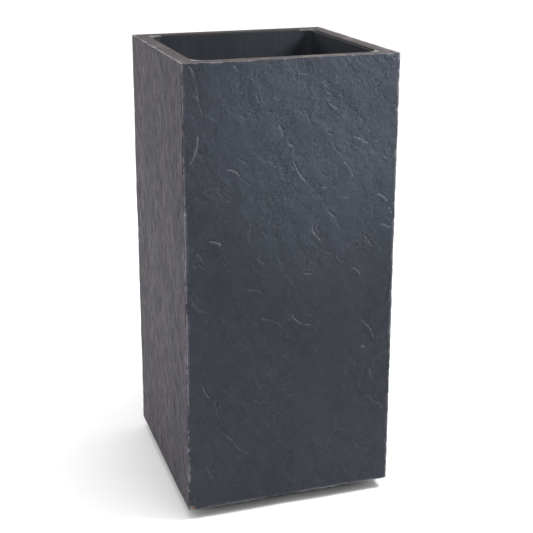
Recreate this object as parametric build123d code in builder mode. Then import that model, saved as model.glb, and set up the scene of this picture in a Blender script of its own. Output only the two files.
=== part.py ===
from build123d import *
import os
from math import asin, degrees, sqrt

# Tall square planter: riven slate slabs bonded round a moulded tank, with a lift-out shelf and insert.
# The origin is at ground level, in the middle of the foot. +Z is up, the front faces -Y and +X is to
# the right of the front. All sizes are in millimetres.

# Overall size
width = 328.0
depth = 328.0
height = 700.0

# Slate slabs, mitred at the vertical corners, with their lower edges clear of the ground
slab_thickness = 23.5
slab_ground_gap = 18.0
arris_bevel = 3.4
rim_edge_break = 0.8

# Groove down each corner, on the mitre, and the dark joint set back in it
groove_width = 1.8
groove_depth = 4.5
seal_recess = 1.2

# Tank that lines the slabs, with its floor and the drain hole in the floor
tank_wall = 3.5
tank_corner_radius = 18.0
tank_rim_drop = 2.0
tank_floor = 6.0
tank_floor_fillet = 8.0
drain_diameter = 26.0

# Foot frame bonded under the tank, as wide as the tank and open in the middle
foot_frame_height = 12.0
foot_frame_width = 48.0
foot_frame_radius = 6.0

# Rubber pads under the foot frame
pad_diameter = 36.0
pad_standout = 3.0
pad_socket = 1.0
pad_socket_clearance = 0.1

# Drain plug, which pulls up out of the floor
plug_clearance = 0.1
plug_tail = 2.0
plug_tail_chamfer = 1.0
plug_head_overlap = 6.0
plug_head_height = 3.0
plug_stem_diameter = 9.0
plug_stem_height = 9.0
plug_knob_diameter = 18.0
plug_knob_height = 4.0
plug_knob_edge = 1.2

# Ledges: four angles on the tank's walls that carry the shelf
ledge_level = 330.0
ledge_leg = 25.0
ledge_shelf = 20.0
ledge_metal = 3.0
ledge_inside_radius = 3.0
ledge_tip_radius = 1.0
ledge_end_gap = 41.0

# Ledge fixings: pan-head screws through the ledge and the tank into plugs in the slab
screw_end_distance = 25.0
screw_drop = 14.0
screw_diameter = 4.9
screw_length = 22.0
screw_hole = 5.5
screw_head_diameter = 9.5
screw_head_height = 3.4
screw_head_radius = 1.4
screw_slot_length = 5.4
screw_slot_width = 1.1
screw_slot_depth = 1.8
wall_plug_diameter = 7.9
wall_plug_bore = 5.0
wall_plug_length = 17.0
wall_plug_hole = 8.0
wall_plug_hole_depth = 18.0

# Shelf, which lies loose on the ledges
shelf_thickness = 12.0
shelf_gap = 4.0
shelf_corner_radius = 16.0
shelf_edge_break = 1.0
hand_hole_length = 95.0
hand_hole_width = 28.0
hand_hole_edge = 16.0
shelf_drain_diameter = 14.0
shelf_drain_pitch = 50.0
shelf_drain_rows = 3

# Planting insert, which stands on the shelf below the rim
insert_recess = 78.0
insert_gap = 7.0
insert_wall = 2.5
insert_floor = 3.0
insert_taper = 10.0
insert_foot_height = 5.0
insert_foot_diameter = 30.0
insert_foot_inset = 24.0
insert_corner_radius = 16.5
insert_drain_diameter = 14.0
insert_drain_spread = 55.0
flange_width = 16.0
flange_thickness = 3.0
flange_lip = 10.0
flange_edge_break = 0.8

# Bail of the insert, a bent wire whose ends turn in two ears on the flange
wire_diameter = 6.0
ear_thickness = 3.0
ear_width = 18.0
ear_pivot_height = 8.0
ear_hole_clearance = 0.08
bail_end_standout = 2.0
bail_leg_gap = 6.0
bail_end_bend = 5.5
bail_corner_bend = 14.0
bail_rest_gap = 0.3
bail_flange_offset = 1.0

# Levels and inside sizes that follow from the sizes above
tank_top = height - tank_rim_drop
tank_bottom = pad_standout + foot_frame_height
floor_top = tank_bottom + tank_floor
tank_width = width - 2 * slab_thickness
tank_depth = depth - 2 * slab_thickness
tank_outer_radius = tank_corner_radius + tank_wall
inside_width = tank_width - 2 * tank_wall
inside_depth = tank_depth - 2 * tank_wall
shelf_top = ledge_level + shelf_thickness
flange_top = height - insert_recess
flange_x = inside_width / 2 - insert_gap
flange_y = inside_depth / 2 - insert_gap
screw_level = ledge_level - screw_drop

# How near to a level or a face an edge lies that is picked by its place
pick_tolerance = 0.01

# The four sides: outward direction, direction along the slab, slab length and distance from the middle
sides = {
    "front": (Vector(0, -1, 0), Vector(1, 0, 0), width, depth / 2),
    "right": (Vector(1, 0, 0), Vector(0, 1, 0), depth, width / 2),
    "back": (Vector(0, 1, 0), Vector(-1, 0, 0), width, depth / 2),
    "left": (Vector(-1, 0, 0), Vector(0, -1, 0), depth, width / 2),
}

# The four corners: which way each lies from the middle in X and in Y
corners = {
    "front_left": (-1, -1),
    "front_right": (1, -1),
    "back_left": (-1, 1),
    "back_right": (1, 1),
}


def wall_plane(side, below_face, level):
    """A plane parallel to a side, so far below its outer face, that faces outwards with its Y up."""
    outward, along, _, reach = sides[side]
    middle = outward * (reach - below_face) + Vector(0, 0, level)
    return Plane(origin=middle, x_dir=along, z_dir=outward)


def corner_plane(corner, in_from_edge, level):
    """A level plane at a corner, in from both outer faces, with its X towards the middle."""
    across, back = corners[corner]
    middle = Vector(across * (width / 2 - in_from_edge), back * (depth / 2 - in_from_edge), level)
    return Plane(origin=middle, x_dir=Vector(-across, -back, 0), z_dir=(0, 0, 1))


def ledge_length(side):
    """Length of a ledge: the inside of the tank less the gap at each end."""
    return sides[side][2] - 2 * (slab_thickness + tank_wall + ledge_end_gap)


def screw_places(side):
    """Places along a ledge, from its middle, of its two screws."""
    reach = ledge_length(side) / 2 - screw_end_distance
    return [(-reach, 0), (reach, 0)]


# Slate slabs: a long plan outline with a bevelled, grooved mitre at each end
def make_slab(side):
    outward, along, length, reach = sides[side]
    half = length / 2
    mitre_start = arris_bevel / 2
    groove_side = groove_width / 2 / sqrt(2)
    groove_in = groove_depth / sqrt(2)
    end = [
        (half - arris_bevel, 0),
        (half - mitre_start - groove_side, mitre_start - groove_side),
        (half - mitre_start - groove_side - groove_in, mitre_start - groove_side + groove_in),
        (half - mitre_start - groove_in, mitre_start + groove_in),
        (half - slab_thickness, slab_thickness),
    ]
    other_end = [(-x, y) for x, y in reversed(end)]
    foot = Plane(origin=outward * reach + Vector(0, 0, slab_ground_gap), x_dir=along, z_dir=(0, 0, 1))
    with BuildPart() as slab:
        with BuildSketch(foot):
            with BuildLine():
                Polyline(*end, *other_end, close=True)
            make_face()
        extrude(amount=height - slab_ground_gap)
        rim = slab.faces().sort_by(Axis.Z)[-1]
        chamfer(rim.edges().sort_by(SortBy.LENGTH)[-1], rim_edge_break)
        with BuildSketch(wall_plane(side, slab_thickness, screw_level)):
            with Locations(*screw_places(side)):
                Circle(wall_plug_hole / 2)
        extrude(amount=wall_plug_hole_depth, mode=Mode.SUBTRACT)
    slab.part.label = "slate_" + side
    return slab.part


# Corner seal: a dark strip in the groove, set back from the bevel
def make_corner_seal(corner):
    bevel_face = arris_bevel / sqrt(2)
    with BuildPart() as seal:
        with BuildSketch(corner_plane(corner, 0, slab_ground_gap)):
            with Locations((bevel_face + seal_recess, 0)):
                Rectangle(groove_depth - seal_recess, groove_width, align=(Align.MIN, Align.CENTER))
        extrude(amount=height - slab_ground_gap - rim_edge_break)
    seal.part.label = "corner_seal_" + corner
    return seal.part


# Corner fill: mortar between the square corner of the slabs and the round corner of the tank
def make_corner_fill(corner):
    radius = tank_outer_radius
    tangent = radius / sqrt(2)
    nearest = radius * (sqrt(2) - 1)
    with BuildPart() as fill:
        with BuildSketch(corner_plane(corner, slab_thickness, slab_ground_gap)):
            with BuildLine():
                Line((0, 0), (tangent, tangent))
                ThreePointArc((tangent, tangent), (nearest, 0), (tangent, -tangent))
                Line((tangent, -tangent), (0, 0))
            make_face()
        extrude(amount=height - slab_ground_gap)
    fill.part.label = "corner_fill_" + corner
    return fill.part


# Tank: an open box with rounded corners, with a drain hole in its floor
with BuildPart() as inner_tank:
    with BuildSketch(Plane.XY.offset(tank_bottom)):
        RectangleRounded(tank_width, tank_depth, tank_outer_radius)
    extrude(amount=tank_top - tank_bottom)
    with BuildSketch(Plane.XY.offset(floor_top)):
        RectangleRounded(inside_width, inside_depth, tank_corner_radius)
    extrude(amount=tank_top - floor_top, mode=Mode.SUBTRACT)
    floor_edges = inner_tank.edges().filter_by(lambda edge: abs(edge.center().Z - floor_top) < pick_tolerance)
    fillet(floor_edges, tank_floor_fillet)
    with BuildSketch(Plane.XY.offset(tank_bottom)):
        Circle(drain_diameter / 2)
    extrude(amount=tank_floor, mode=Mode.SUBTRACT)
    for side in sides:
        with BuildSketch(wall_plane(side, slab_thickness + tank_wall, screw_level)):
            with Locations(*screw_places(side)):
                Circle(screw_hole / 2)
        extrude(amount=tank_wall, mode=Mode.SUBTRACT)
inner_tank.part.label = "inner_tank"


# Foot frame: a flat frame under the tank, with a shallow socket in each corner for a pad
pad_x = tank_width / 2 - foot_frame_width / 2
pad_y = tank_depth / 2 - foot_frame_width / 2
pad_places = [(across * pad_x, back * pad_y) for across, back in corners.values()]

with BuildPart() as foot_frame:
    with BuildSketch(Plane.XY.offset(pad_standout)):
        RectangleRounded(tank_width, tank_depth, tank_outer_radius)
        RectangleRounded(
            tank_width - 2 * foot_frame_width,
            tank_depth - 2 * foot_frame_width,
            foot_frame_radius,
            mode=Mode.SUBTRACT,
        )
    extrude(amount=foot_frame_height)
    with BuildSketch(Plane.XY.offset(pad_standout)):
        with Locations(*pad_places):
            Circle(pad_diameter / 2 + pad_socket_clearance)
    extrude(amount=pad_socket, mode=Mode.SUBTRACT)
foot_frame.part.label = "foot_frame"


# Foot pads: rubber discs let into the corners of the foot frame
def make_foot_pad(corner, place):
    with BuildPart() as pad:
        with BuildSketch():
            with Locations(place):
                Circle(pad_diameter / 2)
        extrude(amount=pad_standout + pad_socket)
    pad.part.label = "foot_pad_" + corner
    return pad.part


# Drain plug: shank in the hole, head on the floor, stem and knob to pull it by
shank_radius = drain_diameter / 2 - plug_clearance
tail_level = tank_bottom - plug_tail
head_level = floor_top + plug_head_height
stem_level = head_level + plug_stem_height
knob_level = stem_level + plug_knob_height

with BuildPart() as drain_plug:
    with BuildSketch(Plane.XZ):
        with BuildLine():
            Polyline(
                (0, tail_level),
                (shank_radius - plug_tail_chamfer, tail_level),
                (shank_radius, tail_level + plug_tail_chamfer),
                (shank_radius, floor_top),
                (drain_diameter / 2 + plug_head_overlap, floor_top),
                (drain_diameter / 2 + plug_head_overlap, head_level),
                (plug_stem_diameter / 2, head_level),
                (plug_stem_diameter / 2, stem_level),
                (plug_knob_diameter / 2, stem_level),
                (plug_knob_diameter / 2, knob_level),
                (0, knob_level),
                close=True,
            )
        make_face()
    revolve(axis=Axis.Z)
    knob_rim = drain_plug.edges().filter_by(GeomType.CIRCLE).group_by(Axis.Z)[-1]
    fillet(knob_rim, plug_knob_edge)
drain_plug.part.label = "drain_plug"


# Ledges: an angle along each wall, with its level leg at the top
def make_ledge(side):
    outward, along, _, reach = sides[side]
    wall_face = reach - slab_thickness - tank_wall
    length = ledge_length(side)
    start = outward * wall_face - along * (length / 2) + Vector(0, 0, ledge_level)
    with BuildPart() as ledge:
        with BuildSketch(Plane(origin=start, x_dir=-outward, z_dir=along)):
            with BuildLine():
                Polyline(
                    (0, 0),
                    (ledge_shelf, 0),
                    (ledge_shelf, -ledge_metal),
                    (ledge_metal, -ledge_metal),
                    (ledge_metal, -ledge_leg),
                    (0, -ledge_leg),
                    close=True,
                )
            make_face()
        extrude(amount=length)
        long_edges = ledge.edges().filter_by(Axis((0, 0, 0), along))
        web_edges = long_edges.filter_by(
            lambda edge: abs(edge.center().dot(outward) - (wall_face - ledge_metal)) < pick_tolerance
        )
        tip_edges = long_edges.filter_by(
            lambda edge: abs(edge.center().dot(outward) - (wall_face - ledge_shelf)) < pick_tolerance
        )
        fillet(web_edges.sort_by(Axis.Z)[-1], ledge_inside_radius)
        fillet(tip_edges.sort_by(Axis.Z)[0], ledge_tip_radius)
        with BuildSketch(wall_plane(side, reach - wall_face + ledge_metal, screw_level)):
            with Locations(*screw_places(side)):
                Circle(screw_hole / 2)
        extrude(amount=ledge_metal, mode=Mode.SUBTRACT)
    ledge.part.label = "ledge_" + side
    return ledge.part


# Ledge screws: pan head with a cross slot, and a plain shank
head_seat = slab_thickness + tank_wall + ledge_metal

with BuildPart() as ledge_screws:
    for side in sides:
        with BuildSketch(wall_plane(side, head_seat, screw_level)):
            with Locations(*screw_places(side)):
                Circle(screw_diameter / 2)
        extrude(amount=screw_length)
        with BuildSketch(wall_plane(side, head_seat, screw_level)):
            with Locations(*screw_places(side)):
                Circle(screw_head_diameter / 2)
        extrude(amount=-screw_head_height)
        head_face = wall_plane(side, head_seat + screw_head_height, screw_level)
        head_rims = ledge_screws.edges().filter_by(GeomType.CIRCLE).filter_by(
            lambda edge: abs(head_face.to_local_coords(edge.arc_center).Z) < pick_tolerance
        )
        fillet(head_rims, screw_head_radius)
        with BuildSketch(head_face):
            with Locations(*screw_places(side)):
                Rectangle(screw_slot_length, screw_slot_width)
                Rectangle(screw_slot_width, screw_slot_length)
        extrude(amount=screw_slot_depth, mode=Mode.SUBTRACT)
ledge_screws.part.label = "ledge_screws"


# Wall plugs: a sleeve round each screw, in the slab
with BuildPart() as wall_plugs:
    for side in sides:
        with BuildSketch(wall_plane(side, slab_thickness, screw_level)):
            with Locations(*screw_places(side)):
                Circle(wall_plug_diameter / 2)
                Circle(wall_plug_bore / 2, mode=Mode.SUBTRACT)
        extrude(amount=wall_plug_length)
wall_plugs.part.label = "wall_plugs"


# Shelf: a loose board with two hand holes and rows of drain holes
shelf_width = inside_width - 2 * shelf_gap
shelf_depth = inside_depth - 2 * shelf_gap
hand_hole_x = shelf_width / 2 - hand_hole_edge - hand_hole_width / 2

with BuildPart() as shelf:
    with BuildSketch(Plane.XY.offset(ledge_level)):
        RectangleRounded(shelf_width, shelf_depth, shelf_corner_radius)
        with Locations((-hand_hole_x, 0), (hand_hole_x, 0)):
            SlotOverall(hand_hole_length, hand_hole_width, rotation=90, mode=Mode.SUBTRACT)
        with GridLocations(shelf_drain_pitch, shelf_drain_pitch, shelf_drain_rows, shelf_drain_rows):
            Circle(shelf_drain_diameter / 2, mode=Mode.SUBTRACT)
    extrude(amount=shelf_thickness)
    top_outline = shelf.faces().sort_by(Axis.Z)[-1].outer_wire().edges()
    bottom_outline = shelf.faces().sort_by(Axis.Z)[0].outer_wire().edges()
    chamfer(top_outline + bottom_outline, shelf_edge_break)
shelf.part.label = "shelf"


# Planting insert: a tapered pot with a lipped flange, four feet, drain holes and two ears for the bail
pot_x = flange_x - flange_width + insert_wall
pot_y = flange_y - flange_width + insert_wall
pot_bottom = shelf_top + insert_foot_height
flange_bottom = flange_top - flange_thickness
flange_radius = insert_corner_radius - insert_wall + flange_width
pivot_level = flange_top + ear_pivot_height

with BuildPart() as planting_insert:
    with BuildSketch(Plane.XY.offset(pot_bottom)):
        RectangleRounded(2 * (pot_x - insert_taper), 2 * (pot_y - insert_taper), insert_corner_radius)
    with BuildSketch(Plane.XY.offset(flange_top)):
        RectangleRounded(2 * pot_x, 2 * pot_y, insert_corner_radius)
    loft()
    with BuildSketch(Plane.XY.offset(flange_bottom - flange_lip)):
        RectangleRounded(2 * flange_x, 2 * flange_y, flange_radius)
        RectangleRounded(
            2 * (flange_x - insert_wall),
            2 * (flange_y - insert_wall),
            flange_radius - insert_wall,
            mode=Mode.SUBTRACT,
        )
    extrude(amount=flange_lip)
    with BuildSketch(Plane.XY.offset(flange_bottom)):
        RectangleRounded(2 * flange_x, 2 * flange_y, flange_radius)
    extrude(amount=flange_thickness)
    flange_rim = planting_insert.faces().sort_by(Axis.Z)[-1].outer_wire().edges()
    chamfer(flange_rim, flange_edge_break)
    mouth_radius = insert_corner_radius - insert_wall
    with BuildSketch(Plane.XY.offset(pot_bottom + insert_floor)):
        RectangleRounded(
            2 * (pot_x - insert_taper - insert_wall),
            2 * (pot_y - insert_taper - insert_wall),
            mouth_radius,
        )
    with BuildSketch(Plane.XY.offset(flange_top)):
        RectangleRounded(2 * (pot_x - insert_wall), 2 * (pot_y - insert_wall), mouth_radius)
    loft(mode=Mode.SUBTRACT)
    foot_x = pot_x - insert_taper - insert_foot_inset
    foot_y = pot_y - insert_taper - insert_foot_inset
    with BuildSketch(Plane.XY.offset(shelf_top)):
        with GridLocations(2 * foot_x, 2 * foot_y, 2, 2):
            Circle(insert_foot_diameter / 2)
    extrude(amount=insert_foot_height)
    with BuildSketch(Plane.XY.offset(pot_bottom)):
        Circle(insert_drain_diameter / 2)
        with PolarLocations(insert_drain_spread, 4):
            Circle(insert_drain_diameter / 2)
    extrude(amount=insert_floor, mode=Mode.SUBTRACT)
    for across in (-1, 1):
        ear_face = Plane(origin=(across * flange_x, 0, pivot_level), x_dir=(0, 1, 0), z_dir=(1, 0, 0))
        with BuildSketch(ear_face):
            Circle(ear_width / 2)
            Rectangle(ear_width, ear_pivot_height, align=(Align.CENTER, Align.MAX))
        extrude(amount=-across * ear_thickness)
        with BuildSketch(ear_face):
            Circle(wire_diameter / 2 + ear_hole_clearance)
        extrude(amount=-across * ear_thickness, mode=Mode.SUBTRACT)
planting_insert.part.label = "planting_insert"


# Bail: a wire of three sides that turns on its outward ends, at rest on the back of the flange
bail_rest_drop = ear_pivot_height - wire_diameter / 2 - bail_rest_gap
bail_reach = flange_y - flange_width / 2 - bail_flange_offset
bail_leg_x = flange_x - ear_thickness - bail_leg_gap
bail_end_x = flange_x + bail_end_standout
bail_droop = degrees(asin(bail_rest_drop / bail_reach))
bail_plane = Plane(origin=(0, 0, pivot_level)).rotated((-bail_droop, 0, 0))

with BuildPart() as insert_bail:
    with BuildLine(bail_plane) as bail_path:
        FilletPolyline(
            (-bail_end_x, 0),
            (-bail_leg_x, 0),
            (-bail_leg_x, bail_reach),
            (bail_leg_x, bail_reach),
            (bail_leg_x, 0),
            (bail_end_x, 0),
            radius=[bail_end_bend, bail_corner_bend, bail_corner_bend, bail_end_bend],
        )
    with BuildSketch(Plane(origin=(-bail_end_x, 0, pivot_level), z_dir=(1, 0, 0))):
        Circle(wire_diameter / 2)
    sweep(path=bail_path.wires()[0])
insert_bail.part.label = "insert_bail"


pieces = [make_slab(side) for side in sides]
pieces += [make_corner_seal(corner) for corner in corners]
pieces += [make_corner_fill(corner) for corner in corners]
pieces += [make_foot_pad(corner, place) for corner, place in zip(corners, pad_places)]
pieces += [make_ledge(side) for side in sides]
pieces += [
    inner_tank.part,
    foot_frame.part,
    drain_plug.part,
    ledge_screws.part,
    wall_plugs.part,
    shelf.part,
    planting_insert.part,
    insert_bail.part,
]

os.makedirs("parts", exist_ok=True)
for piece in pieces:
    export_step(piece, "parts/" + piece.label + ".step")

print("bail folds over by", round(180 - 2 * bail_droop, 2), "degrees about the level", pivot_level)
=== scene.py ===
from math import cos, pi, radians, sqrt

import bpy
from mathutils import Matrix, Vector


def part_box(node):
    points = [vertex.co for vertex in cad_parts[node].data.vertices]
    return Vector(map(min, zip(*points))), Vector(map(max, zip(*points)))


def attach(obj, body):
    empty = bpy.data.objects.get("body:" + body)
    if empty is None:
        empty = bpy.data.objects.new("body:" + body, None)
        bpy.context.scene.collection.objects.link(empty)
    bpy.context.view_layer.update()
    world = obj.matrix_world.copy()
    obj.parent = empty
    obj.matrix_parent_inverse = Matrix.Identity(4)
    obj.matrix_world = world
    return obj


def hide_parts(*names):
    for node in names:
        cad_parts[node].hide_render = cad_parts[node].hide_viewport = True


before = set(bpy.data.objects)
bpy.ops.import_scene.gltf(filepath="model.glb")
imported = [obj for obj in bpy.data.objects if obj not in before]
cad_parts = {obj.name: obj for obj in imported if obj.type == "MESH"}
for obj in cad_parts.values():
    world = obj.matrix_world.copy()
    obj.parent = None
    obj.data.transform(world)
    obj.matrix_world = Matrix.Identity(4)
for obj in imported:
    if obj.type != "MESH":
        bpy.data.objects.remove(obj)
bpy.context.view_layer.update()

bl_info = {
    "name": "Tall slate planter",
    "version": (1, 0, 0),
    "blender": (4, 5, 0),
    "location": "3D View > Sidebar > Planter",
    "description": "Riven slate slabs, sawn rim, dark tank and loose inner pieces for the packed planter",
    "category": "Object",
}

MM = 0.001

# The four sides: how far each is turned from the front, about the vertical
SIDES = {"front": 0, "right": pi / 2, "back": pi, "left": -pi / 2}

# The photograph and the camera that took it, which the stage sets up again
PHOTO_SIZE = 533
SENSOR = 36
CAMERA_PLACE = (-0.5164, -1.5942, 0.9281)
CAMERA_HEADING = radians(17.015)
CAMERA_TILT = radians(15.363)
CAMERA_ROLL = radians(-0.258)
CAMERA_LENS = 73.88
CAMERA_SHIFT = (0.0483, -0.1446)

# How much purple bloom the slabs carry
FRONT_BLUSH = 0.03
SIDE_BLUSH = 0.85

# The front's clearest breaks, in the photograph's pixels: where each starts, is half way and ends, and how
# pale its line is: a painted highlight above 0, and a dark line of painted shade below 0. The tone also sets
# its depth
FRONT_MARKS = {
    "upper middle, down to the right": [
        ((278.9, 123.9), (281.6, 128.9), (285.6, 132.8), 0.9),
        ((282.0, 131.7), (283.2, 134.6), (285.0, 137.0), 0.6),
        ((287.8, 139.4), (291.6, 144.8), (297.2, 148.9), 0.9),
        ((290.0, 143.9), (292.3, 148.0), (295.6, 150.6), 0.5),
        ((293.3, 160.0), (298.9, 171.7), (307.2, 182.2), 1.0),
        ((290.0, 162.8), (292.6, 167.0), (296.7, 170.6), 0.6),
    ],
    "under the rim, right": [
        ((318.9, 67.8), (320.3, 72.0), (323.3, 74.4), -0.6),
        ((321.7, 78.9), (325.2, 83.9), (330.0, 87.8), 0.7),
        ((324.5, 79.0), (327.6, 83.0), (331.0, 86.0), 0.6),
        ((327.2, 98.9), (330.6, 106.2), (337.8, 110.6), -1.0),
        ((336.7, 75.0), (337.9, 80.0), (338.3, 85.0), 0.6),
    ],
    "upper right": [
        ((332.8, 140.6), (335.6, 148.4), (342.2, 153.9), 0.7),
        ((342.2, 161.1), (349.8, 168.4), (352.2, 180.0), 0.7),
        ((353.3, 136.7), (361.8, 139.6), (370.0, 144.4), 0.8),
        ((320.0, 187.2), (324.0, 187.3), (327.8, 187.8), 0.6),
        ((343.0, 197.8), (346.0, 197.6), (349.0, 197.8), 0.5),
    ],
    "upper middle, short": [
        ((272.8, 97.2), (276.3, 98.8), (279.4, 101.1), 0.6),
        ((281.1, 176.1), (284.0, 179.4), (287.8, 181.7), 0.5),
    ],
    "half way down, left": [
        ((208.3, 242.2), (215.0, 242.6), (222.2, 245.6), 0.9),
        ((196.7, 254.4), (199.8, 257.7), (202.2, 261.7), 0.5),
        ((191.7, 296.7), (195.4, 306.6), (209.4, 312.8), 0.35),
    ],
    "half way down, middle": [
        ((292.2, 313.4), (299.5, 321.6), (312.2, 323.6), 0.7),
        ((250.6, 222.0), (250.0, 230.0), (248.3, 237.8), 0.3),
        ((247.8, 293.3), (255.6, 290.4), (262.2, 295.6), 0.3),
        ((257.8, 320.7), (273.3, 321.6), (284.4, 330.0), 0.3),
    ],
    "along the left arris": [
        ((187.8, 65.0), (192.0, 71.0), (194.4, 78.3), 0.8),
        ((196.7, 82.2), (198.4, 98.0), (203.3, 119.0), 0.5),
        ((192.3, 95.6), (196.0, 97.4), (198.9, 100.6), 0.4),
        ((197.2, 134.4), (196.9, 148.5), (187.8, 166.7), 0.8),
    ],
    "upper left": [
        ((233.3, 66.1), (236.4, 68.6), (238.9, 71.7), 0.6),
        ((256.7, 94.4), (257.9, 98.8), (260.0, 102.8), 0.6),
        ((225.6, 171.1), (233.5, 171.6), (240.0, 177.8), 0.9),
        ((240.0, 177.8), (245.6, 181.7), (252.2, 185.6), 0.6),
        ((240.0, 114.4), (242.7, 117.6), (246.1, 120.0), 0.4),
        ((203.9, 115.6), (209.9, 117.9), (215.6, 121.1), 0.3),
    ],
    "half way down, right": [
        ((327.2, 210.6), (331.6, 214.7), (335.6, 217.8), 0.8),
        ((335.6, 217.8), (337.6, 225.0), (342.2, 230.6), 0.5),
        ((312.8, 223.4), (315.3, 233.6), (322.8, 240.6), 0.9),
        ((352.2, 267.8), (356.6, 270.3), (359.4, 274.4), 1.0),
    ],
    "along the right arris": [
        ((364.4, 233.9), (369.2, 240.6), (374.4, 246.7), 0.7),
        ((376.7, 193.3), (382.9, 196.9), (387.8, 202.2), 1.0),
        ((388.3, 206.7), (390.2, 210.0), (391.1, 213.9), 0.9),
        ((379.4, 224.0), (385.1, 225.4), (390.6, 228.3), 0.9),
    ],
    # Dark lines of painted shade
    "dark painted-shade lines": [
        ((335.6, 254.4), (338.0, 261.4), (343.3, 263.3), -0.9),
        ((337.8, 272.8), (340.6, 279.0), (344.4, 284.4), -0.7),
        ((307.9, 259.2), (310.1, 263.8), (315.3, 264.7), -0.7),
    ],
    "lower right, long": [
        ((360.0, 318.9), (369.0, 327.6), (374.4, 339.4), 0.5),
        ((304.4, 273.3), (308.3, 273.5), (312.2, 273.3), 0.8),
        ((389.6, 268.0), (389.6, 288.0), (383.9, 307.8), -0.8),
    ],
    "crack at the lower left": [
        ((202.5, 385.8), (205.9, 392.8), (210.0, 399.2), 0.7),
        ((215.8, 410.0), (218.9, 417.0), (223.3, 423.3), 0.3),
        ((223.3, 434.2), (228.9, 438.3), (233.3, 443.3), 0.4),
        ((233.3, 443.3), (242.0, 450.0), (251.7, 455.0), 0.3),
    ],
    "lower right, short": [
        ((360.0, 345.8), (362.6, 346.2), (365.1, 347.5), 0.8),
        ((278.0, 389.0), (283.0, 389.3), (287.5, 389.0), 0.3),
        ((286.7, 395.0), (291.0, 395.2), (295.0, 395.0), 0.3),
        ((368.1, 368.0), (370.6, 372.5), (372.0, 378.0), 0.4),
        ((377.5, 401.7), (380.2, 404.6), (382.5, 408.0), 0.4),
    ],
}


def linear(colour):
    """A linear RGBA colour from an sRGB hex value."""
    parts = [int(colour[k:k + 2], 16) / 255 for k in (1, 3, 5)]
    return (*[c / 12.92 if c <= 0.04045 else ((c + 0.055) / 1.055) ** 2.4 for c in parts], 1.0)


def size_setting(label, description, default):
    """A size that a user can change, in metres."""
    return bpy.props.FloatProperty(name=label, description=description, default=default, unit="LENGTH")


def colour_setting(label, description, colour):
    """A colour that a user can change, from its sRGB hex value."""
    return bpy.props.FloatVectorProperty(
        name=label, description=description, size=4, subtype="COLOR", default=linear(colour)
    )


def camera_turn(heading, tilt, roll):
    """How a camera is turned: about its line of sight, down to its tilt, and to its heading."""
    return (
        Matrix.Rotation(-heading, 4, "Z")
        @ Matrix.Rotation(pi / 2 - tilt, 4, "X")
        @ Matrix.Rotation(roll, 4, "Z")
    )


def point_on_front(pixel):
    """The point of the front's outer plane that the camera sees at a pixel, across and up, in mm."""
    across = (pixel[0] / PHOTO_SIZE - 0.5 + CAMERA_SHIFT[0]) * SENSOR
    up = (0.5 - pixel[1] / PHOTO_SIZE + CAMERA_SHIFT[1]) * SENSOR
    turn = camera_turn(CAMERA_HEADING, CAMERA_TILT, CAMERA_ROLL)
    way = turn.to_3x3() @ Vector((across, up, -CAMERA_LENS))
    start = Vector(CAMERA_PLACE)
    point = start + way * (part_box("slate_front")[0].y - start.y) / way.y
    return Vector((point.x, point.z)) / MM


def front_marks():
    """The front's marks: start and end across and up, bulge to the right of the way between, and tone.

    Places are rounded to a millimetre and bulges to a tenth, about as fine as the photograph can be read.
    """
    marks = []
    for rows in FRONT_MARKS.values():
        for *pixels, tone in rows:
            start, middle, end = (point_on_front(pixel) for pixel in pixels)
            way = end - start
            to_right = Vector((way.y, -way.x)).normalized()
            bulge = (middle - (start + end) / 2).dot(to_right)
            marks.append((*map(round, (*start, *end)), round(bulge, 1), tone))
    return marks


def add(tree, kind, inputs=None, output=0, **settings):
    """Adds a node with its settings, sets or links its inputs, and returns one of its outputs."""
    node = tree.nodes.new(kind)
    for name, value in settings.items():
        setattr(node, name, value)
    for name, value in (inputs or {}).items():
        if isinstance(value, bpy.types.NodeSocket):
            tree.links.new(value, node.inputs[name])
        else:
            node.inputs[name].default_value = value
    return node.outputs[output]


def finish_piece(piece, body, slot, *nodes):
    """Ties a finished piece to its body and hides the nodes that it stands for; the slot is not used."""
    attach(piece, body)
    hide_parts(*nodes)


def cover(node, material):
    """Gives a carried-over node one material."""
    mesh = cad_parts[node].data
    if mesh.materials:
        for index in range(len(mesh.materials)):
            mesh.materials[index] = material
    else:
        mesh.materials.append(material)


def only(piece):
    """Selects one piece alone."""
    bpy.ops.object.select_all(action="DESELECT")
    piece.select_set(True)
    bpy.context.view_layer.objects.active = piece


# Blocks with a worked face: a fine grid on the outer plane, drawn back into a closed block

def add_face_grid(name, width, low, high, reach, cell):
    """A grid that stands on the plane Y = -reach, from low to high, and faces -Y."""
    bpy.ops.object.select_all(action="DESELECT")
    across = round(width / cell)
    up = round((high - low) / cell)
    bpy.ops.mesh.primitive_grid_add(
        x_subdivisions=across, y_subdivisions=up,
        size=1.0, location=(0, -reach, (low + high) / 2), rotation=(pi / 2, 0, 0),
    )
    piece = bpy.context.object
    piece.name = piece.data.name = name
    piece.scale = (width, high - low, 1)
    bpy.ops.object.transform_apply(location=True, rotation=True, scale=True)
    return piece


def close_block(piece, reach, rings):
    """Draws the rim of a worked face back through rings of (depth, half width) and closes the back."""
    only(piece)
    half = max(vertex.co.x for vertex in piece.data.vertices)
    bpy.ops.object.mode_set(mode="EDIT")
    bpy.ops.mesh.select_all(action="SELECT")
    bpy.ops.mesh.region_to_loop()
    for depth, half_width in rings:
        bpy.ops.mesh.extrude_edges_move(TRANSFORM_OT_translate={"value": (0, 0, 0)})
        bpy.ops.transform.resize(value=(half_width / half, 0, 1), center_override=(0, depth - reach, 0))
        half = half_width
    bpy.ops.mesh.edge_face_add()
    bpy.ops.mesh.select_all(action="SELECT")
    bpy.ops.mesh.normals_make_consistent(inside=False)
    bpy.ops.object.mode_set(mode="OBJECT")


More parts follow.
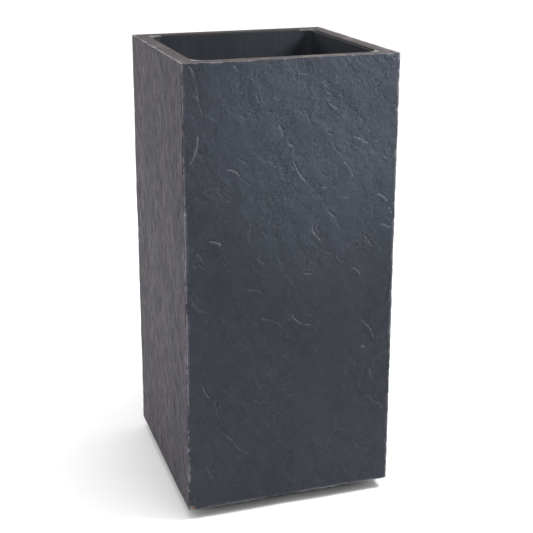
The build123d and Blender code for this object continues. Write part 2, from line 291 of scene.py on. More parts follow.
def apply_nodes(piece, tree):
    """Runs a geometry node tree over a piece and applies it."""
    only(piece)
    modifier = piece.modifiers.new("Worked face", "NODES")
    modifier.node_group = tree
    bpy.ops.object.modifier_apply(modifier=modifier.name)


def turn_piece(piece, angle):
    """Turns a piece about the vertical through the origin, in its mesh."""
    only(piece)
    piece.rotation_euler = (0, 0, angle)
    bpy.ops.object.transform_apply(location=True, rotation=True, scale=True)


# Riven relief, in metres below the outer plane. The same nodes shape the mesh and fine it down in the shader.

def add_sum(tree, values):
    """Adds up a list of values."""
    total = values[0]
    for value in values[1:]:
        total = add(tree, "ShaderNodeMath", {0: total, 1: value}, operation="ADD")
    return total


def break_group(tree_kind):
    """A curved break: the ground falls towards it from inside the curve, and steps back up across it."""
    name = "Curved break, " + tree_kind
    if name in bpy.data.node_groups:
        return bpy.data.node_groups[name]
    tree = bpy.data.node_groups.new(name, tree_kind)
    for value in ("Offset", "Way"):
        tree.interface.new_socket(value, in_out="INPUT", socket_type="NodeSocketVector")
    for value in ("Radius", "Window", "Reach", "Depth"):
        tree.interface.new_socket(value, in_out="INPUT", socket_type="NodeSocketFloat")
    for value in ("Depth", "Line"):
        tree.interface.new_socket(value, in_out="OUTPUT", socket_type="NodeSocketFloat")
    given = tree.nodes.new("NodeGroupInput").outputs
    length = add(tree, "ShaderNodeVectorMath", {0: given["Offset"]}, output="Value", operation="LENGTH")
    along = add(
        tree, "ShaderNodeVectorMath",
        {0: given["Offset"], 1: given["Way"]}, output="Value", operation="DOT_PRODUCT",
    )
    facing = add(tree, "ShaderNodeMath", {0: along, 1: length}, operation="DIVIDE")
    full = add(tree, "ShaderNodeMath", {0: given["Window"], 1: 0.45, 2: 0.55}, operation="MULTIPLY_ADD")
    window = add(
        tree, "ShaderNodeMapRange",
        {"Value": facing, "From Min": given["Window"], "From Max": full}, interpolation_type="SMOOTHSTEP",
    )
    gap = add(tree, "ShaderNodeMath", {0: length, 1: given["Radius"]}, operation="SUBTRACT")
    back = add(tree, "ShaderNodeMath", {0: given["Reach"], 1: -1.0}, operation="MULTIPLY")
    dish = add(
        tree, "ShaderNodeMapRange",
        {"Value": gap, "From Min": back, "From Max": 0.0}, interpolation_type="SMOOTHSTEP",
    )
    wall = add(
        tree, "ShaderNodeMapRange",
        {"Value": gap, "From Min": 0.0, "From Max": 0.9 * MM, "To Min": 1.0, "To Max": 0.0},
    )
    shaped = add(tree, "ShaderNodeMath", {0: dish, 1: wall}, operation="MULTIPLY")
    shaped = add(tree, "ShaderNodeMath", {0: shaped, 1: window}, operation="MULTIPLY")
    depth = add(tree, "ShaderNodeMath", {0: shaped, 1: given["Depth"]}, operation="MULTIPLY")
    off_wall = add(tree, "ShaderNodeMath", {0: gap, 1: 0.45 * MM}, operation="SUBTRACT")
    off_wall = add(tree, "ShaderNodeMath", {0: off_wall}, operation="ABSOLUTE")
    line = add(
        tree, "ShaderNodeMapRange",
        {"Value": off_wall, "From Min": 0.2 * MM, "From Max": 0.9 * MM, "To Min": 1.0, "To Max": 0.0},
    )
    line = add(tree, "ShaderNodeMath", {0: line, 1: window}, operation="MULTIPLY")
    out = tree.nodes.new("NodeGroupOutput")
    tree.links.new(depth, out.inputs["Depth"])
    tree.links.new(line, out.inputs["Line"])
    return tree


def add_break(tree, inputs):
    """Adds a curved break to a tree of either kind, and returns its depth and its line."""
    kind = tree.bl_idname
    group_node = "GeometryNodeGroup" if kind == "GeometryNodeTree" else "ShaderNodeGroup"
    outputs = add(tree, group_node, inputs, node_tree=break_group(kind)).node.outputs
    return outputs["Depth"], outputs["Line"]


def add_marks(tree, place, marks, deepest):
    """The front's marks, in mm: their depths added up, and their lines, a painted highlight above 0 and
    painted shade below.
    """
    depths, lines = [], []
    for left, top, right, bottom, bulge, tone in marks:
        start = Vector((left, top, 0)) * MM
        chord = Vector((right, bottom, 0)) * MM - start
        side = 1 if bulge > 0 else -1
        out = Vector((chord.y, -chord.x, 0)).normalized() * side
        rise = abs(bulge) * MM
        radius = (chord.length_squared / 4 + rise ** 2) / (2 * rise)
        centre = start + chord / 2 - out * (radius - rise)
        offset = add(tree, "ShaderNodeVectorMath", {0: place, 1: tuple(centre)}, operation="SUBTRACT")
        depth, line = add_break(tree, {
            "Offset": offset,
            "Way": tuple(out),
            "Radius": radius,
            "Window": (start - centre).normalized().dot(out),
            "Reach": min(7 * MM, 0.8 * radius),
            "Depth": deepest * tone * side,
        })
        depths.append(depth)
        lines.append(add(tree, "ShaderNodeMath", {0: line, 1: tone}, operation="MULTIPLY"))
    return add_sum(tree, depths), add_sum(tree, lines)


def add_scattered(tree, place, cell, radii, depth, share):
    """Scattered breaks, at most one to a cell of a jittered grid, most with the break to the lower left."""
    cells = add(
        tree,
        "ShaderNodeTexVoronoi",
        {"Vector": place, "Scale": 1 / cell, "Randomness": 0.9},
        voronoi_dimensions="2D",
    ).node.outputs
    chance = add(tree, "ShaderNodeSeparateXYZ", {0: cells["Color"]}).node.outputs
    radius = add(tree, "ShaderNodeMapRange", {"Value": chance[2], "To Min": radii[0], "To Max": radii[1]})
    angle = add(
        tree, "ShaderNodeMapRange", {"Value": chance[0], "To Min": radians(-195), "To Max": radians(-75)}
    )
    across = add(tree, "ShaderNodeMath", {0: angle}, operation="COSINE")
    up = add(tree, "ShaderNodeMath", {0: angle}, operation="SINE")
    way = add(tree, "ShaderNodeCombineXYZ", {"X": across, "Y": up})
    from_cell = add(tree, "ShaderNodeVectorMath", {0: place, 1: cells["Position"]}, operation="SUBTRACT")
    to_centre = add(tree, "ShaderNodeVectorMath", {0: way, "Scale": radius}, operation="SCALE")
    offset = add(tree, "ShaderNodeVectorMath", {0: from_cell, 1: to_centre}, operation="ADD")
    kept = add(tree, "ShaderNodeMath", {0: chance[1], 1: share}, operation="LESS_THAN")
    strength = add(
        tree, "ShaderNodeMapRange", {"Value": chance[1], "From Max": share, "To Min": 1.0, "To Max": 0.3}
    )
    strength = add(tree, "ShaderNodeMath", {0: strength, 1: kept}, operation="MULTIPLY")
    deepest = add(tree, "ShaderNodeMath", {0: strength, 1: depth}, operation="MULTIPLY")
    fallen, line = add_break(tree, {
        "Offset": offset,
        "Way": way,
        "Radius": radius,
        "Window": cos(radians(48)),
        "Reach": 0.5 * radii[1],
        "Depth": deepest,
    })
    return fallen, add(tree, "ShaderNodeMath", {0: line, 1: strength}, operation="MULTIPLY")


def add_terraces(tree, place, size, count, height, shows):
    """Thin layers, split off along the contours of a noise: crisp where they show, and smooth elsewhere."""
    level = add(
        tree, "ShaderNodeTexNoise",
        {"Vector": place, "Scale": 1 / size, "Detail": 2.0, "Roughness": 0.45}, noise_dimensions="2D",
    )
    level = add(tree, "ShaderNodeMath", {0: level, 1: count}, operation="MULTIPLY")
    whole = add(tree, "ShaderNodeMath", {0: level}, operation="FLOOR")
    rest = add(tree, "ShaderNodeMath", {0: level}, operation="FRACT")
    rise = add(tree, "ShaderNodeMapRange", {"Value": rest, "From Min": 0.0, "From Max": 0.12})
    stepped = add(tree, "ShaderNodeMath", {0: whole, 1: rise}, operation="ADD")
    level = add(tree, "ShaderNodeMix", {"Factor": shows, 2: level, 3: stepped}, data_type="FLOAT")
    return add(tree, "ShaderNodeMath", {0: level, 1: height}, operation="MULTIPLY")


def add_riven(tree, place, settings):
    """The split stone at a flat place on its own slab: warp, nearness to rough ground, depth, lines."""
    warp = add(
        tree,
        "ShaderNodeTexNoise",
        {"Vector": place, "Scale": 1 / (20 * MM), "Detail": 3.0, "Roughness": 0.65},
        output="Color",
        noise_dimensions="2D",
    )
    warp = add(tree, "ShaderNodeVectorMath", {0: warp, 1: (0.5, 0.5, 0.5)}, operation="SUBTRACT")
    far = add(tree, "ShaderNodeVectorMath", {0: warp, "Scale": 16 * MM}, operation="SCALE")
    bent = add(tree, "ShaderNodeVectorMath", {0: place, 1: far}, operation="ADD")

    # Rough ground: crowded with small breaks, most of all to the upper right
    away = add(
        tree, "ShaderNodeVectorMath",
        {0: place, 1: (settings.rough_across, settings.rough_up, 0)}, output="Value", operation="DISTANCE",
    )
    near = add(
        tree,
        "ShaderNodeMapRange",
        {"Value": away, "From Min": 70 * MM, "From Max": 330 * MM, "To Min": 1.0, "To Max": 0.12},
        interpolation_type="SMOOTHSTEP",
    )
    patches = add(
        tree, "ShaderNodeTexNoise",
        {"Vector": place, "Scale": 1 / (55 * MM), "Detail": 2.0}, noise_dimensions="2D",
    )
    patchy = add(
        tree, "ShaderNodeMapRange", {"Value": patches, "From Min": 0.38, "From Max": 0.6, "To Min": 0.25}
    )
    rough = add(tree, "ShaderNodeMath", {0: near, 1: patchy}, operation="MULTIPLY")

    # Layers: broad ones all over, and small slanting ones in patches
    shows = add(
        tree,
        "ShaderNodeMapRange",
        {"Value": patches, "From Min": 0.5, "From Max": 0.62, "To Max": 0.8},
        interpolation_type="SMOOTHSTEP",
    )
    broad = add_terraces(tree, bent, settings.layer_size, 9, settings.layer_height, shows)
    slant = add(
        tree, "ShaderNodeVectorRotate", {"Vector": bent, "Angle": radians(55)}, rotation_type="Z_AXIS"
    )
    slant = add(tree, "ShaderNodeVectorMath", {0: slant, 1: (1.0, 2.4, 1.0)}, operation="MULTIPLY")
    shows = add(
        tree, "ShaderNodeMapRange",
        {"Value": rough, "From Min": 0.25, "From Max": 0.75}, interpolation_type="SMOOTHSTEP",
    )
    fine = add_terraces(tree, slant, 0.45 * settings.layer_size, 7, 0.55 * settings.layer_height, shows)

    # Crumpled ground and grain
    crumple = add(
        tree,
        "ShaderNodeTexNoise",
        {
            "Vector": bent,
            "Scale": 1 / settings.crumple_size,
            "Detail": 5.0,
            "Roughness": 0.68,
            "Distortion": 0.6,
        },
        noise_dimensions="2D",
    )
    calm = add(
        tree, "ShaderNodeMapRange",
        {"Value": rough, "To Min": 0.16 * settings.crumple_depth, "To Max": settings.crumple_depth},
    )
    crumple = add(tree, "ShaderNodeMath", {0: crumple, 1: calm}, operation="MULTIPLY")
    ridge = add(
        tree,
        "ShaderNodeTexNoise",
        {"Vector": slant, "Scale": 1 / (17 * MM), "Detail": 4.0, "Roughness": 0.6, "Distortion": 0.8},
        noise_dimensions="2D",
    )
    ridge = add(tree, "ShaderNodeMath", {0: ridge, 1: 0.5}, operation="SUBTRACT")
    ridge = add(tree, "ShaderNodeMath", {0: ridge}, operation="ABSOLUTE")
    ridge = add(tree, "ShaderNodeMath", {0: ridge, 1: calm}, operation="MULTIPLY")
    ridge = add(tree, "ShaderNodeMath", {0: ridge, 1: 1.6}, operation="MULTIPLY")
    grain = add(
        tree, "ShaderNodeTexNoise",
        {"Vector": place, "Scale": 1 / (2.6 * MM), "Detail": 3.0, "Roughness": 0.6}, noise_dimensions="2D",
    )
    grain = add(tree, "ShaderNodeMath", {0: grain, 1: settings.grain_depth}, operation="MULTIPLY")

    # Curved breaks in three sizes, the smallest on rough ground alone
    depths, lines = [broad, fine, crumple, ridge, grain], []
    for cell, radii, depth, share in (
        (74 * MM, (14 * MM, 26 * MM), settings.break_depth, 0.14),
        (31 * MM, (5 * MM, 12 * MM), 0.7 * settings.break_depth, 0.2),
        (12 * MM, (2 * MM, 5 * MM), 0.5 * settings.break_depth, 0.6),
    ):
        fallen, line = add_scattered(tree, bent, cell, radii, depth, share)
        if cell < 20 * MM:
            fallen = add(tree, "ShaderNodeMath", {0: fallen, 1: rough}, operation="MULTIPLY")
            line = add(tree, "ShaderNodeMath", {0: line, 1: rough}, operation="MULTIPLY")
        depths.append(fallen)
        lines.append(line)
    return warp, near, add_sum(tree, depths), add_sum(tree, lines)


def add_mark_place(tree, place, warp):
    """The place that the marks are measured from: bent a little, so that their lines waver."""
    waver = add(tree, "ShaderNodeVectorMath", {0: warp, "Scale": 3 * MM}, operation="SCALE")
    return add(tree, "ShaderNodeVectorMath", {0: place, 1: waver}, operation="ADD")


def make_relief_tree(side, marks, settings, half, low, high):
    """Works one slab's face: swell, split stone, marks, and worn arrises and edges."""
    tree = bpy.data.node_groups.new("Riven " + side, "GeometryNodeTree")
    tree.interface.new_socket("Geometry", in_out="INPUT", socket_type="NodeSocketGeometry")
    tree.interface.new_socket("Geometry", in_out="OUTPUT", socket_type="NodeSocketGeometry")
    given = tree.nodes.new("NodeGroupInput").outputs[0]
    where = add(tree, "GeometryNodeInputPosition")
    parts = add(tree, "ShaderNodeSeparateXYZ", {0: where}).node.outputs
    flat = add(tree, "ShaderNodeCombineXYZ", {"X": parts["X"], "Y": parts["Z"]})
    shift = list(SIDES).index(side) * settings.pattern_step
    own = add(tree, "ShaderNodeVectorMath", {0: flat, 1: (shift, 0, 0)}, operation="ADD")

    swell = add(
        tree, "ShaderNodeTexNoise",
        {"Vector": own, "Scale": 1 / settings.swell_size, "Detail": 1.0}, noise_dimensions="2D",
    )
    swell = add(tree, "ShaderNodeMath", {0: swell, 1: 2 * settings.swell_depth}, operation="MULTIPLY")
    warp, near, depth, lines = add_riven(tree, own, settings)
    depths = [swell, depth]
    if marks:
        place = add_mark_place(tree, own, warp)
        depths.append(add_marks(tree, place, marks, settings.mark_depth)[0])
    total = add_sum(tree, depths)
    mean = (
        settings.swell_depth
        + (0.5 * 9 + 0.5 * 7 * 0.55) * settings.layer_height
        + 0.25 * settings.crumple_depth
        + 0.5 * settings.grain_depth
    )
    relief = add(tree, "ShaderNodeMath", {0: total, 1: mean - settings.mean_depth}, operation="SUBTRACT")
    relief = add(tree, "ShaderNodeMath", {0: relief, 1: 0.0, 2: 0.2 * MM}, operation="SMOOTH_MAX")

    # Arrises and edges: the bevel runs unevenly, and chips bite into it
    bite = add(
        tree, "ShaderNodeTexNoise",
        {"Vector": own, "Scale": 1 / (11 * MM), "Detail": 3.0, "Roughness": 0.6}, noise_dimensions="2D",
    )
    bite = add(
        tree, "ShaderNodeMapRange",
        {"Value": bite, "From Min": 0.5, "From Max": 0.72, "To Max": settings.chip_depth},
    )
    from_middle = add(tree, "ShaderNodeMath", {0: parts["X"]}, operation="ABSOLUTE")
    to_arris = add(tree, "ShaderNodeMath", {0: half, 1: from_middle}, operation="SUBTRACT")
    to_rim = add(tree, "ShaderNodeMath", {0: high, 1: parts["Z"]}, operation="SUBTRACT")
    to_foot = add(tree, "ShaderNodeMath", {0: parts["Z"], 1: low}, operation="SUBTRACT")
    edge = relief
    for distance, width, share in (
        (to_arris, settings.arris_bevel, 1.0),
        (to_rim, settings.rim_break, 0.5),
        (to_foot, settings.foot_break, 1.0),
    ):
        way = add(tree, "ShaderNodeMath", {0: width, 1: distance}, operation="SUBTRACT")
        way = add(tree, "ShaderNodeMath", {0: bite, 1: share, 2: way}, operation="MULTIPLY_ADD")
        edge = add(tree, "ShaderNodeMath", {0: edge, 1: way}, operation="MAXIMUM")
    if side == "front":
        corner = (-half, low, 0)
        off = add(tree, "ShaderNodeVectorMath", {0: flat, 1: corner}, output="Value", operation="DISTANCE")
        lost = add(
            tree, "ShaderNodeMapRange",
            {"Value": off, "From Min": 3 * MM, "From Max": 9 * MM, "To Min": 3.2 * MM, "To Max": 0.0},
        )
        edge = add(tree, "ShaderNodeMath", {0: edge, 1: lost}, operation="MAXIMUM")
    worn = add(tree, "ShaderNodeMath", {0: edge, 1: relief}, operation="SUBTRACT")
    worn = add(tree, "ShaderNodeMapRange", {"Value": worn, "From Max": 0.5 * MM})
    blurred = add(tree, "GeometryNodeBlurAttribute", {"Value": edge, "Iterations": 4})
    stand = add(tree, "ShaderNodeMath", {0: blurred, 1: edge}, operation="SUBTRACT")
    stand = add(
        tree, "ShaderNodeMapRange",
        {"Value": stand, "From Min": -0.25 * MM, "From Max": 0.25 * MM, "To Min": -1.0, "To Max": 1.0},
    )

    stored = given
    for name, value, kind in (
        ("face", own, "FLOAT_VECTOR"),
        ("to_foot", to_foot, "FLOAT"),
        ("stand", stand, "FLOAT"),
        ("worn", worn, "FLOAT"),
    ):
        stored = add(
            tree, "GeometryNodeStoreNamedAttribute",
            {"Geometry": stored, "Name": name, "Value": value}, data_type=kind, domain="POINT",
        )
    move = add(tree, "ShaderNodeCombineXYZ", {"Y": edge})
    moved = add(tree, "GeometryNodeSetPosition", {"Geometry": stored, "Offset": move})
    out = tree.nodes.new("NodeGroupOutput")
    tree.links.new(moved, out.inputs[0])
    return tree


# Materials

def new_material(name):
    """A material with only its shader and output, and the shader's node tree."""
    material = bpy.data.materials.new(name)
    material.use_nodes = True
    tree = material.node_tree
    tree.nodes.clear()
    shader = add(tree, "ShaderNodeBsdfPrincipled").node
    out = tree.nodes.new("ShaderNodeOutputMaterial")
    tree.links.new(shader.outputs[0], out.inputs["Surface"])
    return material, tree, shader


def set_surface(tree, shader, colour, roughness, height, strength, depth):
    """Links colour and roughness to a shader, and turns a height pattern into bump of a real depth."""
    tree.links.new(colour, shader.inputs["Base Color"])
    if isinstance(roughness, float):
        shader.inputs["Roughness"].default_value = roughness
    else:
        tree.links.new(roughness, shader.inputs["Roughness"])
    bump = add(tree, "ShaderNodeBump", {"Height": height, "Strength": strength, "Distance": depth})
    tree.links.new(bump, shader.inputs["Normal"])


def riven_slate(name, settings, blush, marks):
    """Slate split along its bed: matt and close-grained, with thin pale edges where layers broke off, partly
    fresh stone and partly a painted highlight, and, on the front, dark lines of painted shade.
    """
    material, tree, shader = new_material(name)
    here = add(tree, "ShaderNodeTexCoord", output="Object")
    face = add(tree, "ShaderNodeAttribute", output="Vector", attribute_name="face")
    to_foot = add(tree, "ShaderNodeAttribute", output="Fac", attribute_name="to_foot")
    stand = add(tree, "ShaderNodeAttribute", output="Fac", attribute_name="stand")
    worn = add(tree, "ShaderNodeAttribute", output="Fac", attribute_name="worn")
    warp, near, depth, lines = add_riven(tree, face, settings)

    # Tone: clouds of 110 mm, mottle of 14 mm and grain of 2.4 mm
    cloud = add(tree, "ShaderNodeTexNoise", {"Vector": here, "Scale": 1 / (110 * MM), "Detail": 3.0})
    mottle = add(
        tree, "ShaderNodeTexNoise",
        {"Vector": here, "Scale": 1 / (14 * MM), "Detail": 6.0, "Roughness": 0.65, "Distortion": 0.6},
    )
    grain = add(
        tree, "ShaderNodeTexNoise",
        {"Vector": here, "Scale": 1 / (2.4 * MM), "Detail": 3.0, "Roughness": 0.7},
    )
    tone = add(tree, "ShaderNodeMix", {"Factor": 0.4, 2: cloud, 3: mottle}, data_type="FLOAT")
    tone = add(tree, "ShaderNodeMix", {"Factor": 0.45, 2: tone, 3: grain}, data_type="FLOAT")
    tone = add(tree, "ShaderNodeMapRange", {"Value": tone, "From Min": 0.32, "From Max": 0.68})
    colour = add(
        tree, "ShaderNodeMix",
        {"Factor": tone, 6: settings.dark, 7: settings.light}, output=2, data_type="RGBA",
    )

    # Paler towards the front's upper right, by a smooth fall-off from one point: partly the crumpled ground's
    # own paleness, partly a painted pool of light
    paler_ground_and_light_pool = add(
        tree, "ShaderNodeMapRange", {"Value": near, "From Min": 0.15, "To Min": 0.92, "To Max": 1.65}
    )
    colour = add(tree, "ShaderNodeVectorMath", {0: colour, "Scale": paler_ground_and_light_pool}, operation="SCALE")

    # Purple bloom, run down the slab by rain
    stain = add(tree, "ShaderNodeMapping", {"Vector": here, "Scale": (1.0, 1.0, 0.4)})
    stain = add(tree, "ShaderNodeTexNoise", {"Vector": stain, "Scale": 1 / (70 * MM), "Detail": 5.0})
    stain = add(
        tree,
        "ShaderNodeMapRange",
        {"Value": stain, "From Min": 0.4, "From Max": 0.62, "To Min": 0.55 * blush, "To Max": blush},
        interpolation_type="SMOOTHSTEP",
    )
    colour = add(
        tree, "ShaderNodeMix", {"Factor": stain, 6: colour, 7: settings.blush}, output=2, data_type="RGBA"
    )

    # Streaks 11 mm wide and cracks down the bed, strongest on the purple slabs
    drawn = add(tree, "ShaderNodeMapping", {"Vector": here, "Scale": (1.0, 1.0, 0.42)})
    streak = add(
        tree, "ShaderNodeTexNoise",
        {"Vector": drawn, "Scale": 1 / (11 * MM), "Detail": 6.0, "Roughness": 0.66, "Distortion": 0.5},
    )
    dark = add(
        tree, "ShaderNodeMapRange",
        {"Value": streak, "From Min": 0.54, "From Max": 0.42, "To Max": 0.95 * blush},
    )
    crack = add(
        tree, "ShaderNodeMapping", {"Vector": here, "Scale": (1.0, 1.0, 0.2), "Rotation": (0, 0.06, 0)}
    )
    crack = add(tree, "ShaderNodeTexNoise", {"Vector": crack, "Scale": 1 / (16 * MM), "Detail": 2.0})
    crack = add(tree, "ShaderNodeMath", {0: crack, 1: 0.46}, operation="SUBTRACT")
    crack = add(tree, "ShaderNodeMath", {0: crack}, operation="ABSOLUTE")
    crack = add(
        tree, "ShaderNodeMapRange",
        {"Value": crack, "From Min": 0.006, "From Max": 0.016, "To Min": 1, "To Max": 0},
    )
    cracked = add(
        tree, "ShaderNodeMapRange", {"Value": mottle, "From Min": 0.44, "From Max": 0.5, "To Max": blush}
    )
    crack = add(tree, "ShaderNodeMath", {0: crack, 1: cracked}, operation="MULTIPLY")
    dark = add(tree, "ShaderNodeMath", {0: dark, 1: crack}, operation="MAXIMUM")
    colour = add(
        tree, "ShaderNodeMix", {"Factor": dark, 6: colour, 7: settings.hollow_and_shade}, output=2, data_type="RGBA"
    )

    # Hollows are darkened and high spots are rubbed pale
    low = add(
        tree, "ShaderNodeMapRange",
        {"Value": stand, "From Min": -0.8, "From Max": 0.0, "To Min": 0.6, "To Max": 0.0},
    )
    colour = add(
        tree, "ShaderNodeMix", {"Factor": low, 6: colour, 7: settings.hollow_and_shade}, output=2, data_type="RGBA"
    )
    rubbed = add(
        tree, "ShaderNodeMapRange", {"Value": stand, "From Min": 0.1, "From Max": 1.0, "To Max": 0.3}
    )
    colour = add(
        tree, "ShaderNodeMix", {"Factor": rubbed, 6: colour, 7: settings.fresh_and_highlight}, output=2, data_type="RGBA"
    )

    # Lines of the breaks: pale ones, partly fresh stone and partly a painted highlight on walls facing the
    # light, broken up by the grain, and dark ones of painted shade
    lines = add(tree, "ShaderNodeMath", {0: lines, 1: settings.line_highlight_share}, operation="MULTIPLY")
    if marks:
        mark_highlights_and_shade = add_marks(tree, add_mark_place(tree, face, warp), marks, settings.mark_depth)[1]
        lines = add(tree, "ShaderNodeMath", {0: lines, 1: mark_highlights_and_shade}, operation="ADD")
    broken = add(
        tree, "ShaderNodeMapRange", {"Value": grain, "From Min": 0.44, "From Max": 0.56, "To Min": 0.12}
    )
    pale = add(tree, "ShaderNodeMath", {0: lines, 1: broken}, operation="MULTIPLY", use_clamp=True)
    colour = add(
        tree, "ShaderNodeMix", {"Factor": pale, 6: colour, 7: settings.fresh_and_highlight}, output=2, data_type="RGBA"
    )
    painted_shade_line = add(tree, "ShaderNodeMath", {0: lines, 1: -0.8}, operation="MULTIPLY", use_clamp=True)
    colour = add(
        tree, "ShaderNodeMix", {"Factor": painted_shade_line, 6: colour, 7: settings.hollow_and_shade}, output=2, data_type="RGBA"
    )

    # Arrises, rim edge and lower edge are scuffed pale, the lower edge most of all to the right
    scuffed = add(tree, "ShaderNodeMapRange", {"Value": mottle, "From Min": 0.26, "From Max": 0.5})
    scuffed = add(tree, "ShaderNodeMath", {0: scuffed, 1: worn}, operation="MULTIPLY")
    colour = add(
        tree, "ShaderNodeMix", {"Factor": scuffed, 6: colour, 7: settings.worn}, output=2, data_type="RGBA"
    )
    foot = add(
        tree, "ShaderNodeMapRange",
        {"Value": to_foot, "From Min": 1.5 * MM, "From Max": 3.5 * MM, "To Min": 1.0, "To Max": 0.0},
    )
    ragged = add(
        tree, "ShaderNodeMapRange", {"Value": mottle, "From Min": 0.42, "From Max": 0.6, "To Max": 0.7}
    )
    foot = add(tree, "ShaderNodeMath", {0: foot, 1: ragged}, operation="MULTIPLY")
    along = add(tree, "ShaderNodeSeparateXYZ", {0: face}).node.outputs["X"]
    along = add(
        tree, "ShaderNodeMapRange",
        {"Value": along, "From Min": -60 * MM, "From Max": 140 * MM, "To Min": 0.1, "To Max": 0.8},
    )
    foot = add(tree, "ShaderNodeMath", {0: foot, 1: along}, operation="MULTIPLY")
    colour = add(
        tree, "ShaderNodeMix", {"Factor": foot, 6: colour, 7: settings.fresh_and_highlight}, output=2, data_type="RGBA"
    )
    if marks:
        colour = add_rust(tree, colour, face, grain, settings)

    matt = add(
        tree, "ShaderNodeMapRange",
        {"Value": mottle, "From Min": 0.3, "From Max": 0.7, "To Min": 0.68, "To Max": 0.5},
    )
    shader.inputs["Specular IOR Level"].default_value = 0.22
    inwards = add(tree, "ShaderNodeMath", {0: depth, 1: -1.0}, operation="MULTIPLY")
    pits = add(tree, "ShaderNodeMath", {0: grain, 1: 0.12 * MM}, operation="MULTIPLY")
    height = add(tree, "ShaderNodeMath", {0: inwards, 1: pits}, operation="ADD")
    gully = add(tree, "ShaderNodeMath", {0: dark, 1: -0.7 * MM}, operation="MULTIPLY")
    height = add(tree, "ShaderNodeMath", {0: height, 1: gully}, operation="ADD")
    set_surface(tree, shader, colour, matt, height, settings.bump, 1.0)
    return material


def add_rust(tree, colour, face, grain, settings):
    """Rust and cream at the front slab's chipped lower left corner, where an iron fleck weathers out."""
    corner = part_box("slate_front")[0]
    off = add(
        tree, "ShaderNodeVectorMath",
        {0: face, 1: (corner.x + 5 * MM, corner.z + 4 * MM, 0)}, output="Value", operation="DISTANCE",
    )
    near = add(
        tree, "ShaderNodeMapRange",
        {"Value": off, "From Min": 1 * MM, "From Max": 5 * MM, "To Min": 0.8, "To Max": 0.0},
    )
    spots = add(tree, "ShaderNodeMapRange", {"Value": grain, "From Min": 0.42, "From Max": 0.58})
    rust = add(
        tree, "ShaderNodeMix",
        {"Factor": spots, 6: settings.rust, 7: settings.cream}, output=2, data_type="RGBA",
    )
    return add(tree, "ShaderNodeMix", {"Factor": near, 6: colour, 7: rust}, output=2, data_type="RGBA")


